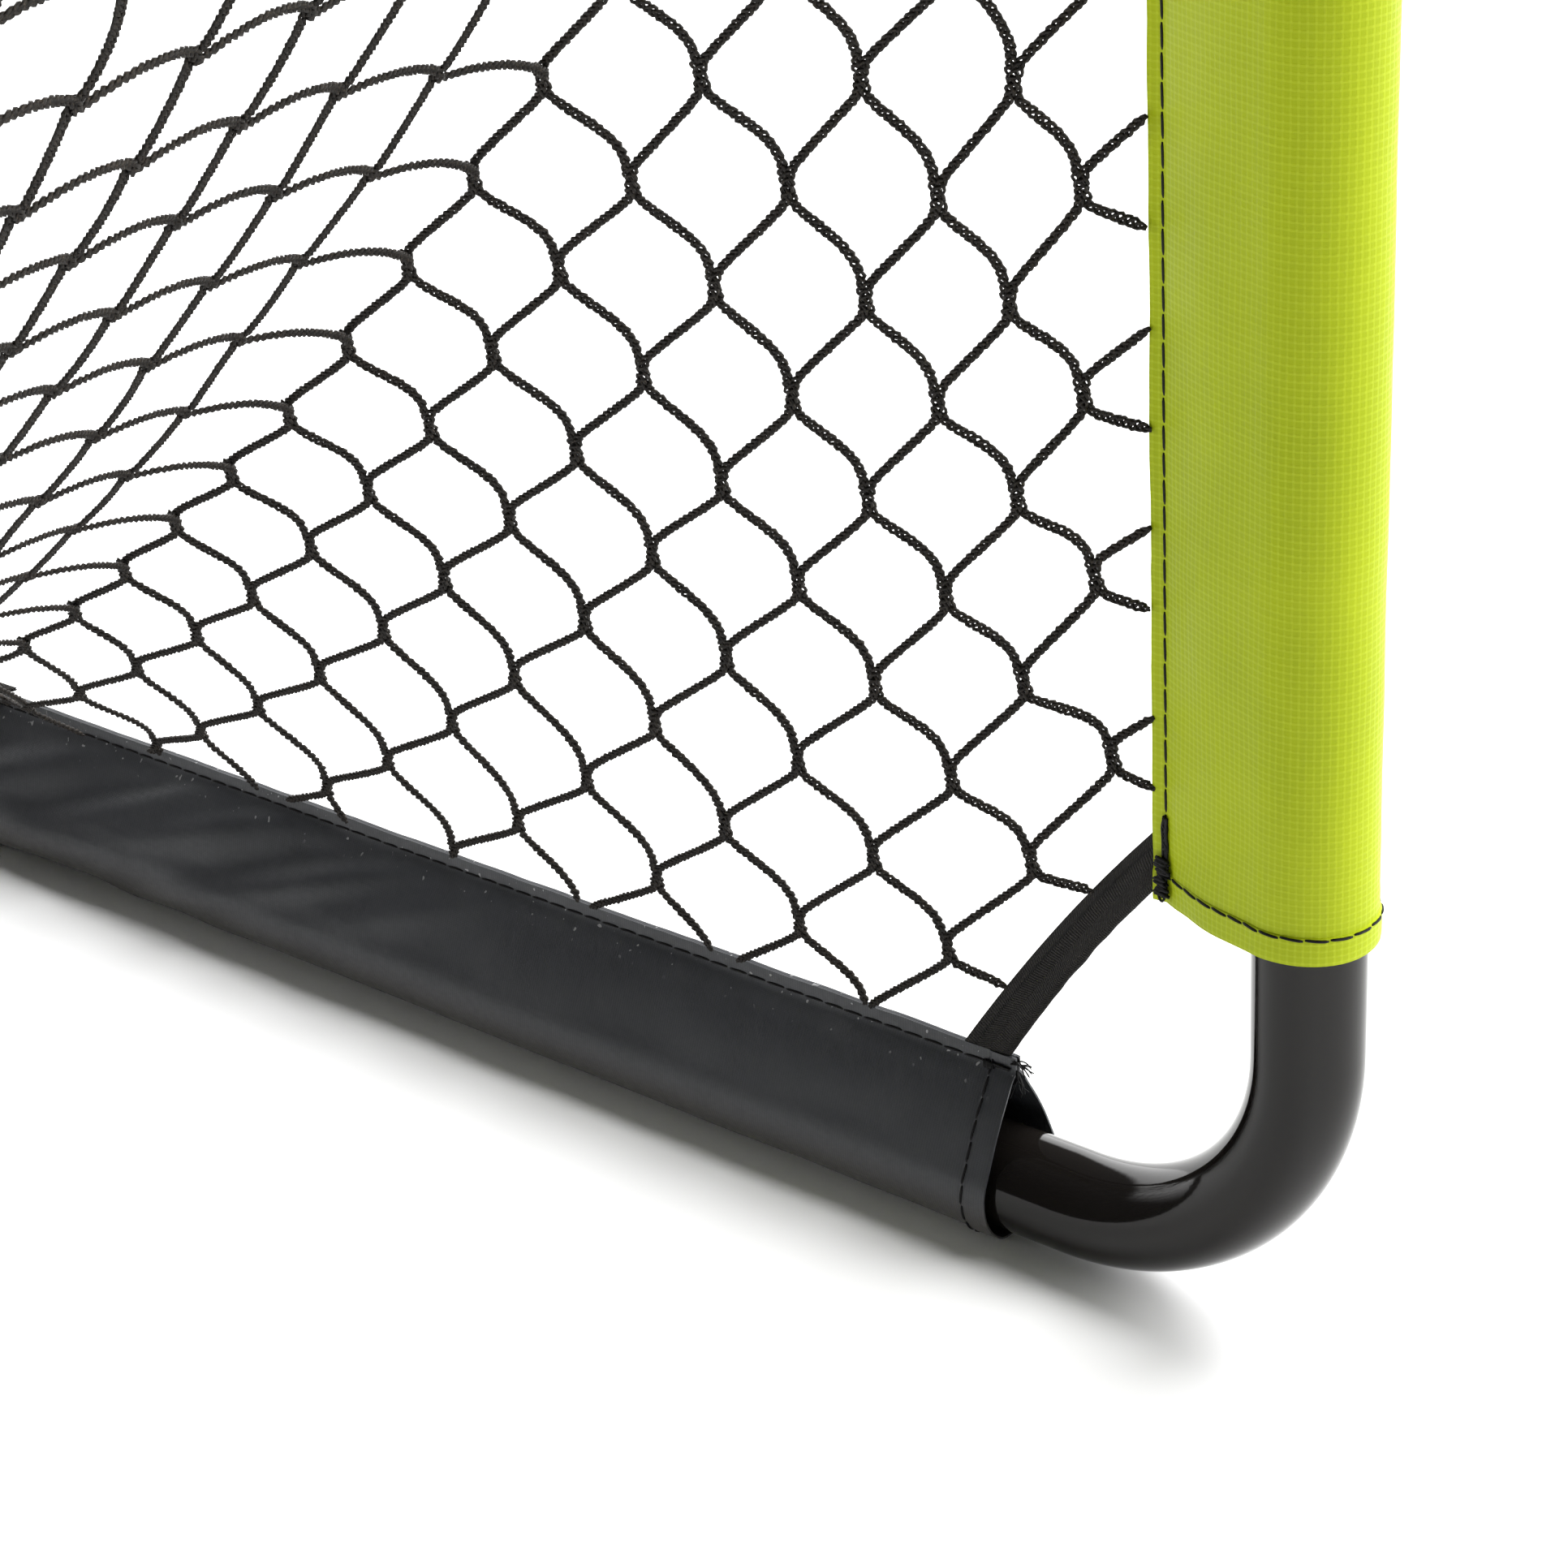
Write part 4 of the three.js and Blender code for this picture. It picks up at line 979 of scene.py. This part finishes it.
def side_node(k, m):
    if k == 0:
        return fold_node(m)
    m0 = TOP_ROW.get(k, 1)
    if m >= m0:
        s, z = poly(SIDE_S, k, m), poly(SIDE_Z, k, m)
    else:
        a, b = fold_node(m), fold_node(m0)
        s, z = poly(SIDE_S, k, m0) + a[1] - b[1], poly(SIDE_Z, k, m0) + a[2] - b[2]
    return V3(inward(s, z), s, z)


FOLLOW = [1, 1, 0.94, 0.76, 0.52, 0.24, 0.1, 0.03, 0, 0, 0, 0, 0]
HALF = 531.0
COL = HALF / 12.5


def rise(j, m):
    q = 1 - j / 12.5
    return 75.0 * (1 - q * q) + min(0.28 * j * j, 7.0) * min(max(m, -2), 4)


def back_node(j, m):
    """j columns in from the fold, 0 to 12."""
    if j == 0:
        return fold_node(m)
    d = down_slope(m) - rise(j, m)
    p, q = BESIDE.at(B0 + d), MIDDLE.at(M0 + d)
    w = q + (p - q) * FOLLOW[j]
    return V3(HALF - j * COL, w[1], w[2])


ROWS = range(-10, 23)
SN = {(k, m): side_node(k, m) for k in range(0, 11) for m in ROWS}
BN = {(j, m): back_node(j, m) for j in range(0, 13) for m in ROWS}
for m in ROWS:   # mirrored column past the middle
    BN[(13, m)] = BN[(12, m)] * V3(-1, 1, 1)
# the mesh is never quite even
for key in list(SN):
    if key[0] > 0:
        k, m = key
        SN[key] = SN[key] + V3(1.2 * wobble((k * 40, m * 40, 0), 55, 3), 1.5 * wobble((k * 40, m * 40, 50), 60, 5), 1.5 * wobble((k * 40, m * 40, 90), 60, 7))
for key in list(BN):
    if 0 < key[0] < 13:
        j, m = key
        BN[key] = BN[key] + V3(1.6 * wobble((j * 40, m * 40, 10), 57, 9), 1.0 * wobble((j * 40, m * 40, 30), 60, 11), 1.4 * wobble((j * 40, m * 40, 70), 60, 13))
for m in ROWS:
    BN[(13, m)] = BN[(12, m)] * V3(-1, 1, 1)


def bezier(p0, p1, p2, p3, n):
    t = np.linspace(0, 1, n, endpoint=False)[:, None]
    return (1 - t) ** 3 * p0 + 3 * (1 - t) ** 2 * t * p1 + 3 * (1 - t) * t * t * p2 + t ** 3 * p3


def turned(v, axis, deg):
    a = math.radians(deg)
    return v * math.cos(a) + np.cross(axis, v) * math.sin(a) + axis * (axis @ v) * (1 - math.cos(a))


def side_axes(k, m):
    P = SN[(k, m)]
    taut = unit(SN[(k, m + 1)] - SN[(k, m - 1)]) if (k, m + 1) in SN and (k, m - 1) in SN else unit(SN[(k, min(m + 1, 16))] - P)
    kk = min(k + 1, 10)
    loose = unit(SN[(kk, m)] - SN[(max(k - 1, 0), m)])
    dn = unit(taut + loose)
    N = unit(np.cross(taut, loose))
    if N[0] > 0:
        N = -N
    L = unit(np.cross(N, dn))
    if L[1] < 0:
        L = -L
    return P, dn, L, N


A_LEN, B_OFF = 4.6, 1.12
NODE_K = 0.35 + 1.75 * np.sin(np.linspace(0, np.pi, 10))


def side_taut(k, m0, m1):
    """The tight cord of column k, as dense points, plane normals and slackness."""
    C, Ns, kind = [], [], []
    for m in range(m0, m1):
        P, dn, L, N = side_axes(k, m)
        Q, dn2, L2, N2 = side_axes(k, m + 1)
        pin, pout = P - dn * A_LEN - L * B_OFF, P + dn * A_LEN + L * B_OFF
        nin = Q - dn2 * A_LEN - L2 * B_OFF
        prev = unit(pin - (SN.get((k, m - 1), P - dn * 40) + dn * A_LEN))
        nxt = unit(nin - pout)
        e0, e1, e2 = unit(prev + dn * 0.4), unit(nxt + dn * 0.4), unit(nxt + dn2 * 0.4)
        bow = L * 1.3 * wobble((k * 41, m * 37, 5), 29, 6)
        j = bezier(pin, pin + e0 * 2.6 + N * 0.9 - L * 0.9, pout - e1 * 2.6 + N * 0.9 + L * 0.9, pout, 10)
        b = bezier(pout, pout + e1 * 4.5 + bow, nin - e2 * 4.5 + bow, nin, 16)
        C += [j, b]
        f = np.linspace(0, 1, 16, endpoint=False)[:, None]
        Ns += [np.repeat(N[None], 10, 0), N * (1 - f) + N2 * f]
        kind += [NODE_K, 0.0 + 0.35 * (np.abs(f[:, 0] * 2 - 1) ** 6)]
    return np.concatenate(C), np.concatenate(Ns), np.concatenate(kind)


def side_loose(m, k0, k1):
    C, Ns, kind = [], [], []
    for k in range(k0, k1):
        P, dn, L, N = side_axes(k, m)
        Q, dn2, L2, N2 = side_axes(k + 1, m)
        pin, pout = P - dn * A_LEN + L * B_OFF, P + dn * A_LEN - L * B_OFF
        nin = Q - dn2 * A_LEN + L2 * B_OFF
        chord = nin - pout
        ln = np.linalg.norm(chord)
        flat = unit(unit(chord) - L * math.tan(math.radians(3 + 2.3 * k)))     # start flatter, towards the posts
        t0 = flat
        j = bezier(pin, pin + dn * 2.6 - N * 0.9 + L * 0.9, pout - unit(dn + t0) * 2.6 - N * 0.9 - L * 0.9, pout, 10)
        sag = 0.8 * wobble((k * 31, m * 17, 3), 23, 2)
        b = bezier(pout, pout + (t0 + N * 0.05 * sag) * ln * 0.36, nin - (dn2 + N * 0.08 * sag) * ln * 0.36, nin, 22)
        C += [j, b]
        f = np.linspace(0, 1, 22, endpoint=False)[:, None]
        Ns += [np.repeat(N[None], 10, 0), N * (1 - f) + N2 * f]
        kind += [NODE_K, 0.9 - 0.5 * (np.abs(f[:, 0] * 2 - 1) ** 6)]
    return np.concatenate(C), np.concatenate(Ns), np.concatenate(kind)


def back_axes(j, m):
    P = BN[(j, m)]
    taut = unit(BN[(j, m + 1)] - BN[(j, m - 1)]) if (j, m + 1) in BN and (j, m - 1) in BN else unit(BN[(j, 16)] - BN[(j, 15)])
    X = V3(1, 0, 0)
    N = unit(np.cross(taut, X))
    if N[2] < 0:
        N = -N          # faces up and forward, towards the play side
    return P, taut, X, N


BACK_A = 2.8


def back_taut(j, m0, m1):
    C, Ns, kind = [], [], []
    for m in range(m0, m1):
        P, dn, X, N = back_axes(j, m)
        Q, dn2, _, N2 = back_axes(j, m + 1)
        pin, pout, nin = P - dn * BACK_A + X * 0.9, P + dn * BACK_A - X * 0.9, Q - dn2 * BACK_A + X * 0.9
        nxt = unit(nin - pout)
        jn = bezier(pin, pin + dn * 1.6 + N * 1.0, pout - dn * 1.6 + N * 1.0, pout, 8)
        bow = X * (1.0 + 2.2 * wobble((j * 37, m * 43, 9), 29, 6)) + N * 0.8 * wobble((j * 23, m * 31, 4), 29, 7)
        b = bezier(pout, pout + unit(nxt + dn * 0.2) * 9 + bow, nin - unit(nxt + dn2 * 0.2) * 9 + bow, nin, 14)
        C += [jn, b]
        f = np.linspace(0, 1, 14, endpoint=False)[:, None]
        Ns += [np.repeat(N[None], 8, 0), N * (1 - f) + N2 * f]
        kind += [np.full(8, 0.5), 0.5 * (np.abs(f[:, 0] * 2 - 1) ** 6)]
    return np.concatenate(C), np.concatenate(Ns), np.concatenate(kind)


def back_loose(m, j0, j1):
    """From column j0 towards the middle; column 13 is the mirrored 12."""
    C, Ns, kind = [], [], []
    for j in range(j0, j1):
        P, dn, X, N = back_axes(j, m)
        Q, dn2, _, N2 = back_axes(j + 1, m)
        pout = P - X * 1.7 - dn * 2.6
        if j == 0:
            pout = P - X * 1.3 - dn * 3.2
        nin = Q + X * 1.7 + dn2 * 1.9
        if j == 12:
            nin = Q + X * 1.7 - dn2 * 2.6
        chord = nin - pout
        ln = np.linalg.norm(chord)
        up = -dn
        lift = 27 if j < 9 else 24
        t0 = unit(unit(chord) + up * math.tan(math.radians(lift)))
        t1 = unit(unit(chord) - up * math.tan(math.radians(24)))
        vary = 1 + 0.25 * wobble((j * 29, m * 23, 8), 31, 4)
        b = bezier(pout, pout + t0 * ln * 0.36 * vary, nin - t1 * ln * 0.36 * vary, nin, 20)
        if j == j0 and j > 0:
            pass
        if j > 0:
            pin = P + X * 1.7 + dn * 1.9
            jn = bezier(pin, pin - X * 1.4 - dn * .6 - N * 1.0, pout + X * 1.4 + dn * .6 - N * 1.0, pout, 6)
            C.append(jn); Ns.append(np.repeat(N[None], 6, 0)); kind.append(np.full(6, 0.6))
        else:
            jn = bezier(P + dn * 1.0 - N * .6, P - N * .9, P - dn * 1.5 - X * .5 - N * .6, pout, 6)
            C.append(jn); Ns.append(np.repeat(N[None], 6, 0)); kind.append(np.full(6, 0.6))
        f = np.linspace(0, 1, 20, endpoint=False)[:, None]
        C.append(b); Ns.append(N * (1 - f) + N2 * f); kind.append(0.85 - 0.3 * (np.abs(f[:, 0] * 2 - 1) ** 6))
    # close into the last junction
    Q, dn2, X, N2 = back_axes(j1, m)
    if j1 < 13:
        C.append(np.array([Q + X * 1.7 + dn2 * 1.9, Q - N2 * 0.8])); Ns.append(np.repeat(N2[None], 2, 0)); kind.append(np.full(2, 0.55))
    else:
        C.append(np.array([Q + X * 1.7 - dn2 * 2.6, Q - N2 * 0.8])); Ns.append(np.repeat(N2[None], 2, 0)); kind.append(np.full(2, 0.55))
    return np.concatenate(C), np.concatenate(Ns), np.concatenate(kind)


def top_tape_z(x):
    t = np.clip((580.9 - x) / 120.4, 0, 1)
    return 549.5 + 75.6 * t + 20 * t * (1 - t)


def in_side(P, k=1):
    x, s, z = np.abs(P[:, 0]), P[:, 1], P[:, 2]
    t = np.clip((s - 51.2) / 67.5, 0, 1)
    tape_z = 150 - 89.2 * t + 14.4 * t * (1 - t) - 2.4
    ok = (z > 59.4) & (z > tape_z) & (z < top_tape_z(x) + 1.5)
    if k > 0:
        ok &= s > 49.5
    else:
        ok &= (s > 37.5) & (s < 597)
    return ok


def in_back(P):
    x, s, z = np.abs(P[:, 0]), P[:, 1], P[:, 2]
    t = np.clip((580.9 - x) / 118.4, 0, 1)
    rear_s = 561 + 89.1 * t + 20 * t * (1 - t)
    w = np.clip(1 - x / 531, 0, 1)
    ok = (s > 17.5) & (z < 627.2) & (s < 651.9) & (z > 42.6)
    ok &= (z < top_tape_z(x) + 1.5) & (s < rear_s + 1.5)
    return ok


def runs(C, Ns, kind, inside, step):
    """Even steps along the line, cut to the panel."""
    d = np.concatenate([[0], np.cumsum(np.linalg.norm(np.diff(C, axis=0), axis=1))])
    n = int(d[-1] / step) + 1
    at = np.arange(n) * step
    P = np.stack([np.interp(at, d, C[:, c]) for c in range(3)], 1)
    M = np.stack([np.interp(at, d, Ns[:, c]) for c in range(3)], 1)
    K = np.interp(at, d, kind)
    ok = inside(P)
    out, i = [], 0
    while i < n:
        if ok[i]:
            j = i
            while j < n and ok[j]:
                j += 1
            if (j - i) * step > 5.0:
                out.append((P[i:j], M[i:j], K[i:j], at[i:j]))
            i = j
        else:
            i += 1
    return out


PLY_R = 0.59
PERIOD = 6.4


def plait(soup, P, M, K, at, sides):
    """Three strands plaited flat: open where the cord is slack, drawn tight where it carries the net."""
    T = unit(np.gradient(P, axis=0))
    N = unit(M - T * (M * T).sum(1, keepdims=True))
    B = np.cross(T, N)
    endd = np.minimum(at - at[0], at[-1] - at)
    shut = ramp(endd, 0.0, 3.0)[:, None]
    open_up = (K - 1).clip(0)
    width = (0.90 + 0.28 * K.clip(0, 1) + 0.34 * open_up)[:, None] * (0.35 + 0.65 * shut)
    lift = (0.44 - 0.05 * K.clip(0, 1))[:, None] * (0.4 + 0.6 * shut)
    ph = rng.uniform(0, 6.28, (3, 4))
    for i in range(3):
        th = (2 * np.pi * at / PERIOD + 2 * np.pi * i / 3 + 0.35 * np.sin(at / 5.3 + ph[0, 0]))[:, None]
        sn = np.sin(th)
        sn = sn * 1.5 / (0.5 + np.abs(sn))
        slack = (0.10 * np.sin(at * 1.31 + ph[i, 1]) + 0.08 * np.sin(at * 2.3 + ph[i, 2]))[:, None] * shut
        S = P + B * (width * sn + slack) + N * (lift * np.sin(2 * th) + 0.6 * slack)
        v, q, t = tube_along(S, N, PLY_R * (0.7 + 0.3 * shut[:, 0]) * (1 - 0.17 * open_up) * (1 + 0.10 * np.sin(at * 1.9 + ph[i, 3])), sides)
        soup.add(v, q, t)


def twisted(soup, P, M, K, at, sides):
    """One three-lobed cord, for the parts of the net that stand further back."""
    T = unit(np.gradient(P, axis=0))
    N = unit(M - T * (M * T).sum(1, keepdims=True))
    B = np.cross(T, N)
    endd = np.minimum(at - at[0], at[-1] - at)
    shut = 0.65 + 0.35 * ramp(endd, 0.0, 3.0)
    a = 2 * np.pi * np.arange(sides) / sides
    lobe = 1 + 0.20 * np.cos(3 * a[None] - 2 * np.pi * at[:, None] / 6.2 * 3 / 3)
    r = (1.25 + 0.18 * K)[:, None] * shut[:, None] * lobe
    ring = P[:, None] + r[..., None] * (np.cos(a)[None, :, None] * B[:, None] * 1.1 + np.sin(a)[None, :, None] * N[:, None] * 0.92)
    q, t = ring_faces(len(P), sides)
    soup.add(np.concatenate([ring.reshape(-1, 3), P[:1], P[-1:]]), q, t)


def to_world(soup):
    for v in soup.v:
        v[:, 1] += POST_Y


def net_piece(name, node, cords, inside, step, fine, sides, mirror=False):
    soup = Soup()
    for C, Ns, kind in cords:
        for part in runs(C, Ns, kind, inside, step):
            (plait if fine else twisted)(soup, *part, sides)
    to_world(soup)
    ob = soup.make(name, NET, mirror=mirror)
    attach(ob, "frame")
    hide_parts(node)
    return ob


KMAX = 9
fold_cords = [side_taut(0, -8, 15)]
taut_cords = [side_taut(k, -8, 15) for k in range(1, KMAX + 1)]
loose_cords = [side_loose(m, 0, KMAX) for m in range(-8, 16)]
for word, mir in (("right", False), ("left", True)):
    fine = not mir
    st, sd = (0.80, 5) if fine else (1.7, 9)
    net_piece(f"{word}_side_net_tight_cords", f"{word}_side_net", taut_cords, in_side, st, fine, sd, mir)
    net_piece(f"{word}_side_net_slack_cords", f"{word}_side_net", loose_cords, in_side, st, fine, sd, mir)
    net_piece(f"{word}_net_fold_cord", f"{word}_side_net", fold_cords, lambda P: in_side(P, 0), st, fine, sd, mir)

near_tight = [back_taut(j, -9, 21) for j in range(1, 8)]
far_tight = [back_taut(j, -9, 21) for j in range(8, 13)]
near_slack = [back_loose(m, 0, 8) for m in range(-9, 22)]
far_slack = [back_loose(m, 8, 13) for m in range(-9, 22)]
side_slack = [back_loose(m, 8, 12) for m in range(-9, 22)]
net_piece("back_net_right_tight_cords", "back_net", near_tight, in_back, 0.95, True, 4)
net_piece("back_net_right_slack_cords", "back_net", near_slack, in_back, 0.95, True, 4)
net_piece("back_net_middle_tight_cords", "back_net", far_tight, in_back, 1.9, False, 8)
net_piece("back_net_middle_slack_cords", "back_net", far_slack, in_back, 1.9, False, 8)
net_piece("back_net_left_tight_cords", "back_net", near_tight + far_tight, in_back, 1.9, False, 8, True)
net_piece("back_net_left_slack_cords", "back_net", near_slack + side_slack, in_back, 1.9, False, 8, True)


# ------------------------------------------------------------- loose threads
def fray(name, base, direction, spread, count, length, seed, mirror):
    soup = Soup()
    r = np.random.default_rng(seed)
    d = unit(np.array(direction, float))
    for k in range(count):
        dd = unit(d + r.normal(0, spread, 3))
        p = np.array(base, float) + r.normal(0, 0.5, 3)
        pts = [p - dd * 1.5]
        curl = r.normal(0, 0.35, 3)
        for i in range(5):
            p = p + dd * length / 5 * r.uniform(0.7, 1.3)
            dd = unit(dd + curl * 0.4 + V3(0, 0, -0.08) + r.normal(0, 0.12, 3))
            pts.append(p.copy())
        line = smooth_line(pts, 4)
        v, q, t = tube_along(line, V3(0.3, 0.2, 0.9), np.linspace(0.3, 0.16, len(line)), 5)
        soup.add(v, q, t)
    ob = soup.make(name, THREAD, mirror=mirror)
    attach(ob, "frame")


for word, mir in (("right", False), ("left", True)):
    fray(f"{word}_side_sleeve_frayed_ends", (POST_X - 0.5, -240.5, 58.6), (-0.2, -1, 0.15), 0.45, 9, 5.5, 21 + mir, mir)
    fray(f"{word}_side_sleeve_hanging_ends", (POST_X - 0.2, -240.0, 55.0), (-0.1, -0.45, -1), 0.25, 6, 8.0, 31 + mir, mir)


# ---------------------------------------------- carried-over frame components
for n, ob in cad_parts.items():
    if ob.hide_render:
        continue
    ob.data.materials.clear()
    ob.data.materials.append(STEEL if "button" in n else PAINT)
    for p in ob.data.polygons:
        p.use_smooth = False
    if "tube" in n:
        ob.modifiers.new("edge", "EDGE_SPLIT").split_angle = math.radians(40)
        for p in ob.data.polygons:
            p.use_smooth = True


# ------------------------------------------------------------ floor and light
def floor_material():
    m, nt, b = node_mat("white_floor")
    p = coords(nt)
    link(nt, mix_col(nt, span(nt, noise(nt, p, 3.0, 2.0), 0.3, 0.7), (0.90, 0.90, 0.90), (0.915, 0.915, 0.915)), b.inputs["Base Color"])
    b.inputs["Roughness"].default_value = 0.9
    b.inputs["Specular IOR Level"].default_value = 0.0
    return m


floor = build("studio_floor", [(-24000, -24000, -0.3), (24000, -24000, -0.3), (24000, 24000, -0.3), (-24000, 24000, -0.3)], [(0, 1, 2, 3)], None, floor_material(), smooth=False)

scene = bpy.context.scene
scene.view_settings.view_transform = "Standard"
scene.view_settings.look = "None"

world = bpy.data.worlds.new("studio")
scene.world = world
world.use_nodes = True
nt = world.node_tree
bg = nt.nodes["Background"]
sky = nt.nodes.new("ShaderNodeTexCoord")
sep = nt.nodes.new("ShaderNodeSeparateXYZ")
nt.links.new(sky.outputs["Generated"], sep.inputs[0])
# a pale backdrop stands behind the object; the room in front of it is dim
lean = math_node(nt, "ADD", math_node(nt, "MULTIPLY", sep.outputs[0], 0.76), math_node(nt, "MULTIPLY", sep.outputs[1], 0.65))
room = mix_col(nt, span(nt, lean, -0.75, 0.35), (0.050, 0.049, 0.048), (0.13, 0.13, 0.132))
back = math_node(nt, "MULTIPLY", span(nt, lean, 0.25, 0.62), span(nt, sep.outputs[2], 0.36, 0.47, 1.0, 0.0))
# the room's far walls are plain white
path = nt.nodes.new("ShaderNodeLightPath")
nt.links.new(mix_col(nt, path.outputs["Is Camera Ray"], mix_col(nt, back, room, (3.2, 3.2, 3.2)), (1.6, 1.6, 1.6)), bg.inputs["Color"])
bg.inputs["Strength"].default_value = 1.0


def aim(ob, target):
    d = Vector(target) - ob.location
    ob.rotation_mode = "QUATERNION"
    ob.rotation_quaternion = d.to_track_quat("-Z", "Y")


def softbox(name, direction, power, angle, glossy):
    L = bpy.data.lights.new(name, "SUN")
    L.energy = power
    L.angle = math.radians(angle)
    ob = bpy.data.objects.new(name, L)
    scene.collection.objects.link(ob)
    ob.location = direction
    aim(ob, (0.0, 0.0, 0.0))
    ob.visible_glossy = glossy


softbox("overhead_softbox", (1.35, -0.2, 2.15), 4.9, 50, False)
softbox("front_right_softbox", (1.0, -1.7, 0.84), 3.5, 50, True)
softbox("rear_left_softbox", (-1.3, 1.7, 0.50), 0.6, 22, False)

# --------------------------------------------------------------------- camera
cam = bpy.data.cameras.new("camera")
cam_ob = bpy.data.objects.new("camera", cam)
scene.collection.objects.link(cam_ob)
cam.lens, cam.sensor_width = 83.29, 36.0
cam.clip_start, cam.clip_end = 0.01, 100.0
fwd = Vector((0.678, 0.581, -0.451)).normalized()
right = Vector((0.6294, -0.7754, -0.052))
right = (right - fwd * right.dot(fwd)).normalized()
up = right.cross(fwd).normalized()
cam_ob.matrix_world = Matrix(((right.x, up.x, -fwd.x, -0.1634), (right.y, up.y, -fwd.y, -0.7931), (right.z, up.z, -fwd.z, 0.6233), (0, 0, 0, 1)))
scene.camera = cam_ob
